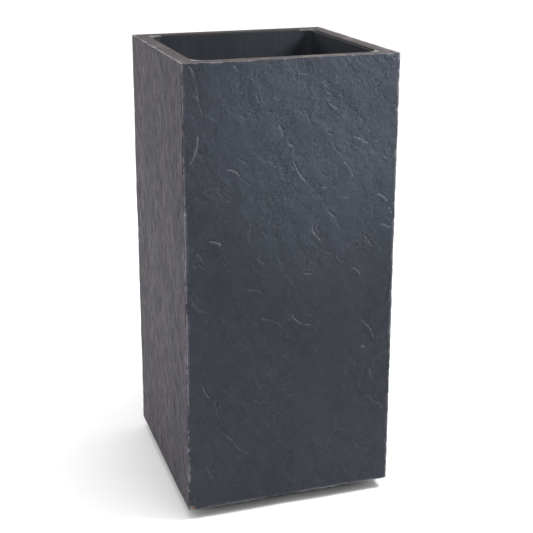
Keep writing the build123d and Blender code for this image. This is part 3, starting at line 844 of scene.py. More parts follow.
def sawn_slate(settings):
    """Slate cut with a diamond saw: flat and dusty, grey-brown, with faint lines across the cut."""
    material, tree, shader = new_material("Sawn slate")
    here = add(tree, "ShaderNodeTexCoord", output="Object")
    parts = add(tree, "ShaderNodeSeparateXYZ", {0: here}).node.outputs
    across = add(tree, "ShaderNodeMath", {0: parts["X"]}, operation="ABSOLUTE")
    deep = add(tree, "ShaderNodeMath", {0: parts["Y"]}, operation="ABSOLUTE")
    outwards = add(tree, "ShaderNodeMath", {0: across, 1: deep}, operation="MAXIMUM")
    is_side = add(tree, "ShaderNodeMath", {0: across, 1: deep}, operation="GREATER_THAN")
    low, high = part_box("slate_right")

    # Tone: mottle of 12 mm, grain of 1.6 mm, cream and pink patches of 40 mm
    mottle = add(
        tree, "ShaderNodeTexNoise",
        {"Vector": here, "Scale": 1 / (12 * MM), "Detail": 5.0, "Roughness": 0.65},
    )
    grain = add(tree, "ShaderNodeTexNoise", {"Vector": here, "Scale": 1 / (1.6 * MM), "Detail": 3.0})
    tone = add(tree, "ShaderNodeMix", {"Factor": 0.4, 2: mottle, 3: grain}, data_type="FLOAT")
    tone = add(tree, "ShaderNodeMapRange", {"Value": tone, "From Min": 0.36, "From Max": 0.64})
    colour = add(
        tree, "ShaderNodeMix",
        {"Factor": tone, 6: settings.sawn_dark, 7: settings.sawn_light}, output=2, data_type="RGBA",
    )
    for size, first, tint in ((41 * MM, 0.52, settings.cream), (33 * MM, 0.55, settings.pink)):
        patch = add(tree, "ShaderNodeTexNoise", {"Vector": here, "Scale": 1 / size, "Detail": 4.0})
        patch = add(
            tree, "ShaderNodeMapRange",
            {"Value": patch, "From Min": first, "From Max": first + 0.14, "To Max": 0.4},
        )
        colour = add(
            tree, "ShaderNodeMix", {"Factor": patch, 6: colour, 7: tint}, output=2, data_type="RGBA"
        )

    # Saw lines, 3 mm apart, square to the rim
    way = add(tree, "ShaderNodeMix", {"Factor": is_side, 2: parts["X"], 3: parts["Y"]}, data_type="FLOAT")
    way = add(tree, "ShaderNodeCombineXYZ", {"X": way, "Y": outwards})
    saw = add(
        tree, "ShaderNodeTexWave",
        {"Vector": way, "Scale": 1 / (3 * MM) / (2 * pi), "Distortion": 2.5, "Detail": 2.0}, output="Fac",
    )
    line = add(tree, "ShaderNodeMapRange", {"Value": saw, "From Min": 0.6, "From Max": 1.0, "To Max": 0.25})
    colour = add(
        tree, "ShaderNodeMix",
        {"Factor": line, 6: colour, 7: settings.sawn_dark}, output=2, data_type="RGBA",
    )

    # Damp and dirt along the inner edge, widest on the right slab and all over the back one
    inner = add(tree, "ShaderNodeMath", {0: outwards, 1: low.x}, operation="SUBTRACT")
    is_right = add(tree, "ShaderNodeMath", {0: parts["X"], 1: deep}, operation="GREATER_THAN")
    is_back = add(tree, "ShaderNodeMath", {0: parts["Y"], 1: across}, operation="GREATER_THAN")
    reach = add(tree, "ShaderNodeMath", {0: is_right, 1: 5 * MM, 2: 2 * MM}, operation="MULTIPLY_ADD")
    reach = add(tree, "ShaderNodeMath", {0: is_back, 1: 22 * MM, 2: reach}, operation="MULTIPLY_ADD")
    wander = add(
        tree, "ShaderNodeMapRange",
        {"Value": mottle, "From Min": 0.3, "From Max": 0.7, "To Min": 0.6, "To Max": 1.4},
    )
    reach = add(tree, "ShaderNodeMath", {0: reach, 1: wander}, operation="MULTIPLY")
    left_over = add(tree, "ShaderNodeMath", {0: reach, 1: inner}, operation="SUBTRACT")
    damp = add(tree, "ShaderNodeMapRange", {"Value": left_over, "From Max": 1.5 * MM, "To Max": 0.85})
    colour = add(
        tree, "ShaderNodeMix", {"Factor": damp, 6: colour, 7: settings.damp}, output=2, data_type="RGBA"
    )

    # The outer edge is chipped to fresh stone
    outer = add(
        tree, "ShaderNodeMapRange",
        {"Value": outwards, "From Min": high.x - 5 * MM, "From Max": high.x - 3 * MM},
    )
    sides = add(tree, "ShaderNodeMapRange", {"Value": is_side, "To Min": 0.3})
    outer = add(tree, "ShaderNodeMath", {0: outer, 1: sides}, operation="MULTIPLY")
    torn = add(tree, "ShaderNodeMapRange", {"Value": mottle, "From Min": 0.36, "From Max": 0.6})
    outer = add(tree, "ShaderNodeMath", {0: outer, 1: torn}, operation="MULTIPLY")
    colour = add(
        tree, "ShaderNodeMix", {"Factor": outer, 6: colour, 7: settings.worn}, output=2, data_type="RGBA"
    )
    shader.inputs["Specular IOR Level"].default_value = 0.22
    height = add(tree, "ShaderNodeMath", {0: tone, 1: saw}, operation="SUBTRACT")
    set_surface(tree, shader, colour, 0.75, height, 0.4, 0.3 * MM)
    return material


def silicone_sealant(settings):
    """Silicone sealant: black, rubbery and half glossy, rippled where a finger smoothed it."""
    material, tree, shader = new_material("Silicone sealant")
    here = add(tree, "ShaderNodeTexCoord", output="Object")
    dust = add(tree, "ShaderNodeTexNoise", {"Vector": here, "Scale": 1 / (9 * MM), "Detail": 5.0})
    dusty = add(
        tree, "ShaderNodeMapRange", {"Value": dust, "From Min": 0.5, "From Max": 0.75, "To Max": 0.5}
    )
    colour = add(
        tree, "ShaderNodeMix",
        {"Factor": dusty, 6: settings.sealant, 7: settings.dust}, output=2, data_type="RGBA",
    )
    gloss = add(tree, "ShaderNodeMapRange", {"Value": dust, "To Min": 0.35, "To Max": 0.65})

    # Ripples, 7 mm apart down the joint
    drawn = add(tree, "ShaderNodeMapping", {"Vector": here, "Scale": (0.2, 0.2, 1.0)})
    ripple = add(tree, "ShaderNodeTexNoise", {"Vector": drawn, "Scale": 1 / (7 * MM), "Detail": 1.0})
    set_surface(tree, shader, colour, gloss, ripple, 0.6, 0.4 * MM)
    return material


def cement_mortar(settings):
    """Cement mortar: pale grey and dull, with sand grains showing and pin holes."""
    material, tree, shader = new_material("Cement mortar")
    here = add(tree, "ShaderNodeTexCoord", output="Object")

    # Sand grains are 0.5 mm in a real bedding mortar, drawn at 0.9 mm so that they show
    grains = add(tree, "ShaderNodeTexVoronoi", {"Vector": here, "Scale": 1 / (0.9 * MM)}).node.outputs
    cloud = add(tree, "ShaderNodeTexNoise", {"Vector": here, "Scale": 1 / (25 * MM), "Detail": 5.0})
    shade = add(tree, "ShaderNodeSeparateXYZ", {0: grains["Color"]}).node.outputs[0]
    shade = add(tree, "ShaderNodeMix", {"Factor": 0.45, 2: cloud, 3: shade}, data_type="FLOAT")
    colour = add(
        tree, "ShaderNodeMix",
        {"Factor": shade, 6: settings.mortar_dark, 7: settings.mortar_light}, output=2, data_type="RGBA",
    )
    holes = add(tree, "ShaderNodeTexVoronoi", {"Vector": here, "Scale": 1 / (6 * MM)})
    holes = add(
        tree, "ShaderNodeMapRange",
        {"Value": holes, "From Min": 0.08, "From Max": 0.14, "To Min": 1, "To Max": 0},
    )
    colour = add(
        tree, "ShaderNodeMix", {"Factor": holes, 6: colour, 7: settings.sealant}, output=2, data_type="RGBA"
    )
    height = add(tree, "ShaderNodeMath", {0: grains["Distance"], 1: holes}, operation="SUBTRACT")
    set_surface(tree, shader, colour, 0.9, height, 0.7, 0.3 * MM)
    return material


def polyester_gelcoat(name, settings, scuffed):
    """Polyester gelcoat: a dark, even, half-gloss skin with orange peel, dust and dried water runs."""
    material, tree, shader = new_material(name)
    here = add(tree, "ShaderNodeTexCoord", output="Object")
    cloud = add(tree, "ShaderNodeTexNoise", {"Vector": here, "Scale": 1 / (80 * MM), "Detail": 4.0})
    colour = add(
        tree, "ShaderNodeMix",
        {"Factor": cloud, 6: settings.tank_dark, 7: settings.tank_light}, output=2, data_type="RGBA",
    )

    # Water runs, 12 mm wide and long
    drawn = add(tree, "ShaderNodeMapping", {"Vector": here, "Scale": (1.0, 1.0, 0.08)})
    run = add(
        tree, "ShaderNodeTexNoise",
        {"Vector": drawn, "Scale": 1 / (12 * MM), "Detail": 4.0, "Roughness": 0.6},
    )
    run = add(tree, "ShaderNodeMapRange", {"Value": run, "From Min": 0.5, "From Max": 0.72, "To Max": 0.07})
    colour = add(
        tree, "ShaderNodeMix", {"Factor": run, 6: colour, 7: settings.dust}, output=2, data_type="RGBA"
    )

    # Specks of dust, and scuffs where the planter is dragged
    speck = add(tree, "ShaderNodeTexNoise", {"Vector": here, "Scale": 1 / (1.8 * MM), "Detail": 2.0})
    speck = add(
        tree,
        "ShaderNodeMapRange",
        {"Value": speck, "From Min": 0.66 - 0.1 * scuffed, "From Max": 0.74, "To Max": 0.35 + 0.3 * scuffed},
    )
    colour = add(
        tree, "ShaderNodeMix", {"Factor": speck, 6: colour, 7: settings.dust}, output=2, data_type="RGBA"
    )
    gloss = add(tree, "ShaderNodeMix", {"Factor": run, 2: 0.42 + 0.2 * scuffed, 3: 0.9}, data_type="FLOAT")
    shader.inputs["Specular IOR Level"].default_value = 0.3

    # Orange peel, 2.5 mm across and some hundredths deep
    peel = add(tree, "ShaderNodeTexNoise", {"Vector": here, "Scale": 1 / (2.5 * MM), "Detail": 1.0})
    set_surface(tree, shader, colour, gloss, peel, 0.5, 0.06 * MM)
    return material


def epdm_rubber(settings):
    """EPDM rubber: black and dull, finely grained, greyed by grit near the ground."""
    material, tree, shader = new_material("EPDM rubber")
    here = add(tree, "ShaderNodeTexCoord", output="Object")
    grain = add(tree, "ShaderNodeTexNoise", {"Vector": here, "Scale": 1 / (1.1 * MM), "Detail": 3.0})
    grit = add(tree, "ShaderNodeTexNoise", {"Vector": here, "Scale": 1 / (6 * MM), "Detail": 5.0})
    height = add(tree, "ShaderNodeSeparateXYZ", {0: here}).node.outputs["Z"]
    low = add(
        tree, "ShaderNodeMapRange", {"Value": height, "From Max": 3 * MM, "To Min": 0.6, "To Max": 0.15}
    )
    low = add(tree, "ShaderNodeMath", {0: low, 1: grit}, operation="MULTIPLY")
    colour = add(
        tree, "ShaderNodeMix",
        {"Factor": low, 6: settings.pad, 7: settings.dust}, output=2, data_type="RGBA",
    )
    set_surface(tree, shader, colour, 0.8, grain, 0.5, 0.15 * MM)
    return material


def nitrile_rubber(settings):
    """Nitrile rubber: dark and slightly shiny, with the turned rings of its mould."""
    material, tree, shader = new_material("Nitrile rubber")
    here = add(tree, "ShaderNodeTexCoord", output="Object")
    wear = add(tree, "ShaderNodeTexNoise", {"Vector": here, "Scale": 1 / (5 * MM), "Detail": 5.0})
    silt = add(
        tree, "ShaderNodeMapRange", {"Value": wear, "From Min": 0.48, "From Max": 0.7, "To Max": 0.4}
    )
    colour = add(
        tree, "ShaderNodeMix",
        {"Factor": silt, 6: settings.plug, 7: settings.dust}, output=2, data_type="RGBA",
    )
    gloss = add(tree, "ShaderNodeMapRange", {"Value": wear, "To Min": 0.4, "To Max": 0.7})

    # Rings, 1.2 mm apart round the plug's axis
    flat = add(tree, "ShaderNodeVectorMath", {0: here, 1: (1, 1, 0)}, operation="MULTIPLY")
    radius = add(tree, "ShaderNodeVectorMath", {0: flat}, output="Value", operation="LENGTH")
    ring = add(tree, "ShaderNodeMath", {0: radius, 1: 2 * pi / (1.2 * MM)}, operation="MULTIPLY")
    ring = add(tree, "ShaderNodeMath", {0: ring}, operation="SINE")
    set_surface(tree, shader, colour, gloss, ring, 0.4, 0.04 * MM)
    return material


def mill_aluminium(settings):
    """Mill-finish aluminium: pale and half dull, with the die's straight lines along each ledge."""
    material, tree, shader = new_material("Mill-finish aluminium")
    here = add(tree, "ShaderNodeTexCoord", output="Object")
    parts = add(tree, "ShaderNodeSeparateXYZ", {0: here}).node.outputs
    across = add(tree, "ShaderNodeMath", {0: parts["X"]}, operation="ABSOLUTE")
    deep = add(tree, "ShaderNodeMath", {0: parts["Y"]}, operation="ABSOLUTE")
    outwards = add(tree, "ShaderNodeMath", {0: across, 1: deep}, operation="MAXIMUM")
    round_section = add(tree, "ShaderNodeMath", {0: outwards, 1: parts["Z"]}, operation="ADD")

    # Die lines, 0.5 mm apart
    die = add(
        tree, "ShaderNodeTexNoise",
        {"W": round_section, "Scale": 1 / (0.5 * MM), "Detail": 2.0}, noise_dimensions="1D",
    )
    bloom = add(tree, "ShaderNodeTexNoise", {"Vector": here, "Scale": 1 / (18 * MM), "Detail": 6.0})
    dull = add(tree, "ShaderNodeMapRange", {"Value": bloom, "From Min": 0.4, "From Max": 0.7})
    colour = add(
        tree, "ShaderNodeMix",
        {"Factor": dull, 6: settings.aluminium, 7: settings.oxide}, output=2, data_type="RGBA",
    )
    shader.inputs["Metallic"].default_value = 1.0
    gloss = add(tree, "ShaderNodeMix", {"Factor": dull, 2: 0.28, 3: 0.5}, data_type="FLOAT")
    set_surface(tree, shader, colour, gloss, die, 0.5, 0.03 * MM)
    return material


def stainless_steel(settings):
    """A2 stainless steel: bright and hard, faintly scratched by the driver."""
    material, tree, shader = new_material("A2 stainless steel")
    here = add(tree, "ShaderNodeTexCoord", output="Object")
    scratch = add(
        tree, "ShaderNodeTexNoise",
        {"Vector": here, "Scale": 1 / (0.6 * MM), "Detail": 3.0, "Distortion": 2.0},
    )
    colour = add(
        tree, "ShaderNodeMix",
        {"Factor": scratch, 6: settings.steel_dark, 7: settings.steel}, output=2, data_type="RGBA",
    )
    shader.inputs["Metallic"].default_value = 1.0
    gloss = add(tree, "ShaderNodeMapRange", {"Value": scratch, "To Min": 0.15, "To Max": 0.4})
    set_surface(tree, shader, colour, gloss, scratch, 0.3, 0.03 * MM)
    return material


def moulded_nylon(settings):
    """Nylon: grey and waxy, a little cloudy inside."""
    material, tree, shader = new_material("Moulded nylon")
    here = add(tree, "ShaderNodeTexCoord", output="Object")
    cloud = add(tree, "ShaderNodeTexNoise", {"Vector": here, "Scale": 1 / (3 * MM), "Detail": 4.0})
    colour = add(
        tree, "ShaderNodeMix",
        {"Factor": cloud, 6: settings.nylon_dark, 7: settings.nylon}, output=2, data_type="RGBA",
    )
    gloss = add(tree, "ShaderNodeMapRange", {"Value": cloud, "To Min": 0.35, "To Max": 0.6})
    set_surface(tree, shader, colour, gloss, cloud, 0.3, 0.05 * MM)
    return material


def recycled_board(settings):
    """Recycled HDPE board: dark and waxy, with drawn-out swirls and pale flecks of other plastics."""
    material, tree, shader = new_material("Recycled HDPE board")
    here = add(tree, "ShaderNodeTexCoord", output="Object")
    swirl = add(
        tree, "ShaderNodeTexNoise",
        {"Vector": here, "Scale": 1 / (40 * MM), "Detail": 5.0, "Distortion": 1.6},
    )
    colour = add(
        tree, "ShaderNodeMix",
        {"Factor": swirl, 6: settings.board_dark, 7: settings.board_light}, output=2, data_type="RGBA",
    )

    # Flecks, 1 to 2 mm long, at most one to each 9 mm
    drawn = add(tree, "ShaderNodeMapping", {"Vector": here, "Scale": (1.0, 0.55, 1.0)})
    fleck = add(tree, "ShaderNodeTexVoronoi", {"Vector": drawn, "Scale": 1 / (9 * MM)}).node.outputs
    chance = add(tree, "ShaderNodeSeparateXYZ", {0: fleck["Color"]}).node.outputs
    size = add(tree, "ShaderNodeMapRange", {"Value": chance[0], "To Min": -0.1, "To Max": 0.13})
    fleck = add(tree, "ShaderNodeMath", {0: fleck["Distance"], 1: size}, operation="LESS_THAN")
    colour = add(
        tree, "ShaderNodeMix", {"Factor": fleck, 6: colour, 7: settings.fleck}, output=2, data_type="RGBA"
    )
    gloss = add(tree, "ShaderNodeMapRange", {"Value": swirl, "To Min": 0.42, "To Max": 0.68})
    grain = add(tree, "ShaderNodeTexNoise", {"Vector": here, "Scale": 1 / (1.5 * MM), "Detail": 3.0})
    set_surface(tree, shader, colour, gloss, grain, 0.5, 0.08 * MM)
    return material


def moulded_polypropylene(settings):
    """Moulded polypropylene: near black, with the mould's spark-eroded grain and dried soil splashes."""
    material, tree, shader = new_material("Moulded polypropylene")
    here = add(tree, "ShaderNodeTexCoord", output="Object")
    flow = add(
        tree, "ShaderNodeTexNoise",
        {"Vector": here, "Scale": 1 / (60 * MM), "Detail": 3.0, "Distortion": 1.0},
    )
    colour = add(
        tree, "ShaderNodeMix",
        {"Factor": flow, 6: settings.insert_dark, 7: settings.insert_light}, output=2, data_type="RGBA",
    )
    splash = add(
        tree, "ShaderNodeTexNoise",
        {"Vector": here, "Scale": 1 / (11 * MM), "Detail": 7.0, "Roughness": 0.7},
    )
    soil = add(
        tree, "ShaderNodeMapRange", {"Value": splash, "From Min": 0.54, "From Max": 0.66, "To Max": 0.5}
    )
    colour = add(
        tree, "ShaderNodeMix", {"Factor": soil, 6: colour, 7: settings.soil}, output=2, data_type="RGBA"
    )
    gloss = add(tree, "ShaderNodeMix", {"Factor": soil, 2: 0.42, 3: 0.9}, data_type="FLOAT")

    # Spark-eroded grain is 0.3 mm across in the real mould, drawn at 0.8 mm so that it shows
    grain = add(tree, "ShaderNodeTexNoise", {"Vector": here, "Scale": 1 / (0.8 * MM), "Detail": 2.0})
    set_surface(tree, shader, colour, gloss, grain, 0.4, 0.08 * MM)
    return material


def galvanised_steel(settings):
    """Hot-dip galvanised steel: grey zinc in frosty patches, each of its own shade and gloss."""
    material, tree, shader = new_material("Galvanised steel")
    here = add(tree, "ShaderNodeTexCoord", output="Object")
    spangle = add(tree, "ShaderNodeTexVoronoi", {"Vector": here, "Scale": 1 / (4 * MM)}, output="Color")
    shade = add(tree, "ShaderNodeSeparateXYZ", {0: spangle}).node.outputs
    colour = add(
        tree, "ShaderNodeMix",
        {"Factor": shade[0], 6: settings.zinc_dark, 7: settings.zinc}, output=2, data_type="RGBA",
    )
    rust = add(tree, "ShaderNodeTexNoise", {"Vector": here, "Scale": 1 / (7 * MM), "Detail": 6.0})
    white = add(
        tree, "ShaderNodeMapRange", {"Value": rust, "From Min": 0.58, "From Max": 0.7, "To Max": 0.6}
    )
    colour = add(
        tree, "ShaderNodeMix", {"Factor": white, 6: colour, 7: settings.oxide}, output=2, data_type="RGBA"
    )
    shader.inputs["Metallic"].default_value = 1.0
    gloss = add(tree, "ShaderNodeMapRange", {"Value": shade[1], "To Min": 0.25, "To Max": 0.5})
    set_surface(tree, shader, colour, gloss, rust, 0.4, 0.08 * MM)
    return material


class SlateSettings(bpy.types.PropertyGroup):
    """Sizes and colours of the slate slabs."""

    cell: size_setting("Cell", "Spacing of the worked face's grid", 1.6 * MM)
    pattern_step: size_setting("Pattern step", "How far apart the slabs' patterns are taken", 1.0)
    swell_size: size_setting("Swell size", "Width of a swell", 190 * MM)
    swell_depth: size_setting("Swell depth", "Depth of a swell", 0.8 * MM)
    mean_depth: size_setting("Mean depth", "Mean depth of the riven face below the outer plane", 0.9 * MM)
    layer_size: size_setting("Layer size", "Width of a split layer", 110 * MM)
    layer_height: size_setting("Layer height", "Thickness of a split layer", 0.3 * MM)
    break_depth: size_setting("Break depth", "Depth of the largest scattered breaks", 0.5 * MM)
    mark_depth: size_setting("Mark depth", "Depth of the deepest placed marks", 0.5 * MM)
    crumple_size: size_setting("Crumple size", "Width of a crumple", 9 * MM)
    crumple_depth: size_setting("Crumple depth", "Depth of the crumples on rough ground", 0.9 * MM)
    grain_depth: size_setting("Grain depth", "Depth of the grain", 0.2 * MM)
    rough_across: size_setting("Rough ground across", "Middle of the front's rough ground", 70 * MM)
    rough_up: size_setting("Rough ground up", "Height of the front's rough ground", 610 * MM)
    bump: bpy.props.FloatProperty(
        name="Bump", description="Strength of the relief that the shader adds",
        default=1.0, subtype="FACTOR",
    )
    # Line share: strength of the pale lines on the scattered breaks' edges, fresh stone and painted highlight
    line_highlight_share: bpy.props.FloatProperty(
        name="Line share", description="How pale the scattered breaks' edges are",
        default=0.28, subtype="FACTOR",
    )
    arris_bevel: size_setting("Arris bevel", "Width of the bevel down each corner", 3.4 * MM)
    rim_break: size_setting("Rim break", "Break of the rim's outer edge", 0.8 * MM)
    foot_break: size_setting("Foot break", "Break of the lower edge", 1.0 * MM)
    chip_depth: size_setting("Chip depth", "Depth of chips in the edges", 1.3 * MM)
    groove_width: size_setting("Groove width", "Width of the groove between two slabs", 1.8 * MM)
    groove_depth: size_setting("Groove depth", "Depth of the groove", 4.5 * MM)
    dark: colour_setting("Dark", "Darkest slate", "#22262c")
    light: colour_setting("Light", "Palest slate", "#2f343d")
    # Hollow: dark of streaks, cracks and hollows, and the painted shade of the front's dark break lines
    hollow_and_shade: colour_setting("Hollow", "Dirt in the hollows", "#1d1f24")
    # Fresh: pale stone of breaks, rubbed spots and the lower edge, and the painted highlight along the break
    # walls
    fresh_and_highlight: colour_setting("Fresh", "Fresh breaks", "#70747b")
    worn: colour_setting("Worn", "Worn arrises", "#959097")
    blush: colour_setting("Blush", "Purple bloom on the side slabs", "#4f4451")
    rust: colour_setting("Rust", "Rust at the chipped corner", "#7a5038")
    sawn_dark: colour_setting("Sawn dark", "Darkest of the sawn rim", "#332f31")
    sawn_light: colour_setting("Sawn light", "Palest of the sawn rim", "#534f50")
    cream: colour_setting("Cream", "Cream patches", "#6e665f")
    pink: colour_setting("Pink", "Pink patches of the rim", "#5f5459")
    damp: colour_setting("Damp", "Damp stone along the rim's inner edge", "#353130")


class FittingSettings(bpy.types.PropertyGroup):
    """Colours of the tank, its fixings and its loose pieces."""

    sealant: colour_setting("Sealant", "Black silicone", "#131315")
    dust: colour_setting("Dust", "Dust, lime and grit", "#6d6b69")
    mortar_dark: colour_setting("Mortar dark", "Darkest mortar", "#5c5857")
    mortar_light: colour_setting("Mortar light", "Palest mortar", "#8f8985")
    tank_dark: colour_setting("Tank dark", "Darkest gelcoat", "#25282e")
    tank_light: colour_setting("Tank light", "Palest gelcoat", "#2d3137")
    pad: colour_setting("Pad", "EPDM rubber", "#161617")
    plug: colour_setting("Plug", "Nitrile rubber", "#1e1e20")
    aluminium: colour_setting("Aluminium", "Clean aluminium", "#d0d1d3")
    oxide: colour_setting("Oxide", "Dull oxide on aluminium and zinc", "#a3a5a6")
    steel: colour_setting("Steel", "Bright stainless steel", "#c9c7c2")
    steel_dark: colour_setting("Steel dark", "Scratched stainless steel", "#9b9994")
    nylon: colour_setting("Nylon", "Palest nylon", "#a9acae")
    nylon_dark: colour_setting("Nylon dark", "Darkest nylon", "#85888b")
    board_dark: colour_setting("Board dark", "Darkest of the shelf", "#1d1e20")
    board_light: colour_setting("Board light", "Palest of the shelf", "#34363a")
    fleck: colour_setting("Fleck", "Pale flecks in the shelf", "#7d8286")
    insert_dark: colour_setting("Insert dark", "Darkest of the insert", "#1c1c1e")
    insert_light: colour_setting("Insert light", "Palest of the insert", "#2a2a2d")
    soil: colour_setting("Soil", "Dried soil", "#4a3c31")
    zinc: colour_setting("Zinc", "Palest zinc", "#c3c6c9")
    zinc_dark: colour_setting("Zinc dark", "Darkest zinc", "#8b8f93")


class StageSettings(bpy.types.PropertyGroup):
    """Camera, floor and lights."""

    place: bpy.props.FloatVectorProperty(
        name="Camera", description="Place of the camera",
        size=3, subtype="TRANSLATION", default=CAMERA_PLACE,
    )
    heading: bpy.props.FloatProperty(
        name="Heading", description="Turn to the right of +Y", default=CAMERA_HEADING, subtype="ANGLE"
    )
    tilt: bpy.props.FloatProperty(
        name="Tilt", description="Angle below the level", default=CAMERA_TILT, subtype="ANGLE"
    )
    roll: bpy.props.FloatProperty(
        name="Roll", description="Turn about the line of sight", default=CAMERA_ROLL, subtype="ANGLE"
    )
    lens: bpy.props.FloatProperty(
        name="Lens", description="Focal length for a 36 mm sensor, in mm", default=CAMERA_LENS
    )
    shift: bpy.props.FloatVectorProperty(
        name="Shift", description="Shift of the frame, as a share of its width",
        size=2, default=CAMERA_SHIFT,
    )
    floor_colour: colour_setting("Floor", "Colour of the floor", "#f8f8f8")
    dome_low: bpy.props.FloatProperty(
        name="Dome low", description="Strength of the light dome at the horizon", default=0.45
    )
    dome_high: bpy.props.FloatProperty(
        name="Dome high", description="Strength of the light dome overhead", default=1.1
    )
    key_power: bpy.props.FloatProperty(
        name="Key", description="Power of the light at the upper right", default=12, unit="POWER"
    )
    overhead_power: bpy.props.FloatProperty(
        name="Overhead", description="Strength of the soft light from above", default=1.0
    )
    fill_power: bpy.props.FloatProperty(
        name="Fill", description="Power of the light at the left", default=3, unit="POWER"
    )
    back_power: bpy.props.FloatProperty(
        name="Back", description="Power of the light behind", default=9, unit="POWER"
    )


class PLANTER_OT_stage(bpy.types.Operator):
    """Add the floor, the lights and the camera"""

    bl_idname = "planter.stage"
    bl_label = "Stage"

    def execute(self, context):
        settings = context.scene.planter_stage
        bpy.ops.object.select_all(action="DESELECT")
        bpy.ops.mesh.primitive_plane_add(size=60, location=(0, 0, 0))
        floor = context.object
        floor.name = "floor"
        material, tree, shader = new_material("Pale floor")
        shader.inputs["Base Color"].default_value = settings.floor_colour
        shader.inputs["Roughness"].default_value = 0.9
        floor.data.materials.append(material)

        world = bpy.data.worlds.new("Studio")
        world.use_nodes = True
        tree = world.node_tree
        way = add(tree, "ShaderNodeTexCoord", output="Generated")
        up = add(tree, "ShaderNodeSeparateXYZ", {0: way}).node.outputs["Z"]
        dome = add(
            tree, "ShaderNodeMapRange",
            {"Value": up, "To Min": settings.dome_low, "To Max": settings.dome_high},
        )
        background = tree.nodes["Background"]
        background.inputs["Color"].default_value = (1, 1, 1, 1)
        tree.links.new(dome, background.inputs["Strength"])
        context.scene.world = world

        for name, place, aim, size, power in (
            ("key_upper_right", (0.7, -0.42, 1.15), (0.05, -0.1, 0.55), (0.3, 0.3), settings.key_power),
            ("fill_left", (-1.9, 0.1, 0.8), (-0.16, 0, 0.35), (0.9, 1.2), settings.fill_power),
            ("fill_back", (-0.9, 1.9, 1.3), (0, 0.16, 0.35), (0.5, 0.5), settings.back_power),
        ):
            light = bpy.data.lights.new(name, "AREA")
            light.shape = "RECTANGLE"
            light.size, light.size_y = size
            light.energy = power
            lamp = bpy.data.objects.new(name, light)
            context.scene.collection.objects.link(lamp)
            lamp.location = place
            lamp.rotation_euler = (Vector(aim) - Vector(place)).to_track_quat("-Z", "Y").to_euler()

        light = bpy.data.lights.new("overhead", "SUN")
        light.energy = settings.overhead_power
        light.angle = radians(40)
        lamp = bpy.data.objects.new("overhead", light)
        context.scene.collection.objects.link(lamp)
        lamp.rotation_euler = Vector((0.12, -0.22, 1)).to_track_quat("Z", "Y").to_euler()

        camera = bpy.data.cameras.new("camera")
        camera.sensor_width = SENSOR
        camera.lens = settings.lens
        camera.shift_x, camera.shift_y = settings.shift
        holder = bpy.data.objects.new("camera", camera)
        context.scene.collection.objects.link(holder)
        turn = camera_turn(settings.heading, settings.tilt, settings.roll)
        holder.matrix_world = Matrix.Translation(settings.place) @ turn
        context.scene.camera = holder
        context.scene.view_settings.view_transform = "Standard"
        return {"FINISHED"}


class PLANTER_OT_slabs(bpy.types.Operator):
    """Model the four riven slate slabs"""

    bl_idname = "planter.slabs"
    bl_label = "Slate slabs"

    def execute(self, context):
        settings = context.scene.planter_slate
        low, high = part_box("slate_front")
        reach = -low.y
        thickness = high.y - low.y
        half = -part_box("slate_left")[0].x
        start = settings.arris_bevel / 2
        groove_side = settings.groove_width / 2 / sqrt(2)
        groove_in = settings.groove_depth / sqrt(2)
        face_half = half - start - groove_side
        rings = [
            (start - groove_side + groove_in, half - start - groove_side - groove_in),
            (start + groove_in, half - start - groove_in),
            (thickness, half - thickness),
        ]
        marks = front_marks()
        stones = {
            "front": riven_slate("Riven slate, front", settings, FRONT_BLUSH, marks),
            "back": riven_slate("Riven slate, back", settings, FRONT_BLUSH, []),
            "left": riven_slate("Riven slate, purple", settings, SIDE_BLUSH, []),
        }
        stones["right"] = stones["left"]
        sawn = sawn_slate(settings)
        for side, angle in SIDES.items():
            slab = add_face_grid("riven_" + side, 2 * face_half, low.z, high.z, reach, settings.cell)
            own_marks = marks if side == "front" else []
            tree = make_relief_tree(side, own_marks, settings, half, low.z, high.z)
            apply_nodes(slab, tree)
            face_count = len(slab.data.polygons)
            close_block(slab, reach, rings)
            slab.data.materials.append(stones[side])
            slab.data.materials.append(sawn)
            for polygon in slab.data.polygons:
                polygon.material_index = 0 if polygon.index < face_count else 1
            only(slab)
            bpy.ops.object.shade_smooth_by_angle(angle=radians(50))
            turn_piece(slab, angle)
            finish_piece(slab, "planter", "riven_slate", "slate_" + side)
        return {"FINISHED"}


class PLANTER_OT_joints(bpy.types.Operator):
    """Finish the sealed corner joints and the mortar behind them"""

    bl_idname = "planter.joints"
    bl_label = "Corner joints"

    def execute(self, context):
        settings = context.scene.planter_fittings
        sealant = silicone_sealant(settings)
        mortar = cement_mortar(settings)
        for corner in ("front_left", "front_right", "back_left", "back_right"):
            cover("corner_seal_" + corner, sealant)
            cover("corner_fill_" + corner, mortar)
        return {"FINISHED"}


class PLANTER_OT_tank(bpy.types.Operator):
    """Finish the moulded tank and the foot frame under it"""

    bl_idname = "planter.tank"
    bl_label = "Tank and foot"

    def execute(self, context):
        settings = context.scene.planter_fittings
        cover("inner_tank", polyester_gelcoat("Polyester gelcoat", settings, 0.0))
        cover("foot_frame", polyester_gelcoat("Polyester gelcoat, scuffed", settings, 1.0))
        return {"FINISHED"}


class PLANTER_OT_pads(bpy.types.Operator):
    """Finish the four rubber pads"""

    bl_idname = "planter.pads"
    bl_label = "Foot pads"

    def execute(self, context):
        rubber = epdm_rubber(context.scene.planter_fittings)
        for corner in ("front_left", "front_right", "back_left", "back_right"):
            cover("foot_pad_" + corner, rubber)
        return {"FINISHED"}


class PLANTER_OT_drain_plug(bpy.types.Operator):
    """Finish the drain plug"""

    bl_idname = "planter.drain_plug"
    bl_label = "Drain plug"

    def execute(self, context):
        cover("drain_plug", nitrile_rubber(context.scene.planter_fittings))
        return {"FINISHED"}


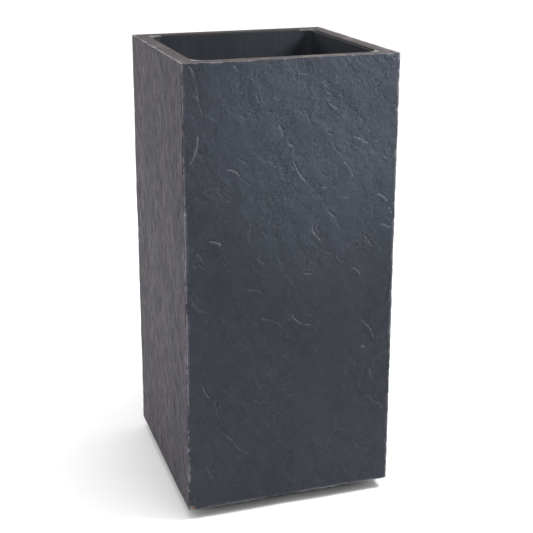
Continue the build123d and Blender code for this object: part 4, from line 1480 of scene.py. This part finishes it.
class PLANTER_OT_ledges(bpy.types.Operator):
    """Finish the four ledges, their screws and the wall plugs"""

    bl_idname = "planter.ledges"
    bl_label = "Ledges and fixings"

    def execute(self, context):
        settings = context.scene.planter_fittings
        aluminium = mill_aluminium(settings)
        for side in SIDES:
            cover("ledge_" + side, aluminium)
        cover("ledge_screws", stainless_steel(settings))
        cover("wall_plugs", moulded_nylon(settings))
        return {"FINISHED"}


class PLANTER_OT_shelf(bpy.types.Operator):
    """Finish the lift-out shelf"""

    bl_idname = "planter.shelf"
    bl_label = "Shelf"

    def execute(self, context):
        cover("shelf", recycled_board(context.scene.planter_fittings))
        return {"FINISHED"}


class PLANTER_OT_insert(bpy.types.Operator):
    """Finish the planting insert"""

    bl_idname = "planter.insert"
    bl_label = "Planting insert"

    def execute(self, context):
        cover("planting_insert", moulded_polypropylene(context.scene.planter_fittings))
        return {"FINISHED"}


class PLANTER_OT_bail(bpy.types.Operator):
    """Finish the insert's folding wire bail"""

    bl_idname = "planter.bail"
    bl_label = "Wire bail"

    def execute(self, context):
        cover("insert_bail", galvanised_steel(context.scene.planter_fittings))
        return {"FINISHED"}


class PLANTER_PT_panel(bpy.types.Panel):
    """The steps that finish the planter"""

    bl_label = "Tall slate planter"
    bl_idname = "PLANTER_PT_panel"
    bl_space_type = "VIEW_3D"
    bl_region_type = "UI"
    bl_category = "Planter"

    def draw(self, context):
        for step in STEPS:
            self.layout.operator(step.bl_idname)


STEPS = (
    PLANTER_OT_slabs,
    PLANTER_OT_joints,
    PLANTER_OT_tank,
    PLANTER_OT_pads,
    PLANTER_OT_drain_plug,
    PLANTER_OT_ledges,
    PLANTER_OT_shelf,
    PLANTER_OT_insert,
    PLANTER_OT_bail,
    PLANTER_OT_stage,
)
GROUPS = {
    "planter_slate": SlateSettings,
    "planter_fittings": FittingSettings,
    "planter_stage": StageSettings,
}


def register():
    for group in GROUPS.values():
        bpy.utils.register_class(group)
    for name, group in GROUPS.items():
        setattr(bpy.types.Scene, name, bpy.props.PointerProperty(type=group))
    for step in STEPS:
        bpy.utils.register_class(step)
    bpy.utils.register_class(PLANTER_PT_panel)


def unregister():
    bpy.utils.unregister_class(PLANTER_PT_panel)
    for step in reversed(STEPS):
        bpy.utils.unregister_class(step)
    for name, group in GROUPS.items():
        delattr(bpy.types.Scene, name)
        bpy.utils.unregister_class(group)


def main():
    register()
    for step in STEPS:
        area, name = step.bl_idname.split(".")
        getattr(getattr(bpy.ops, area), name)()


if __name__ == "__main__":
    main()
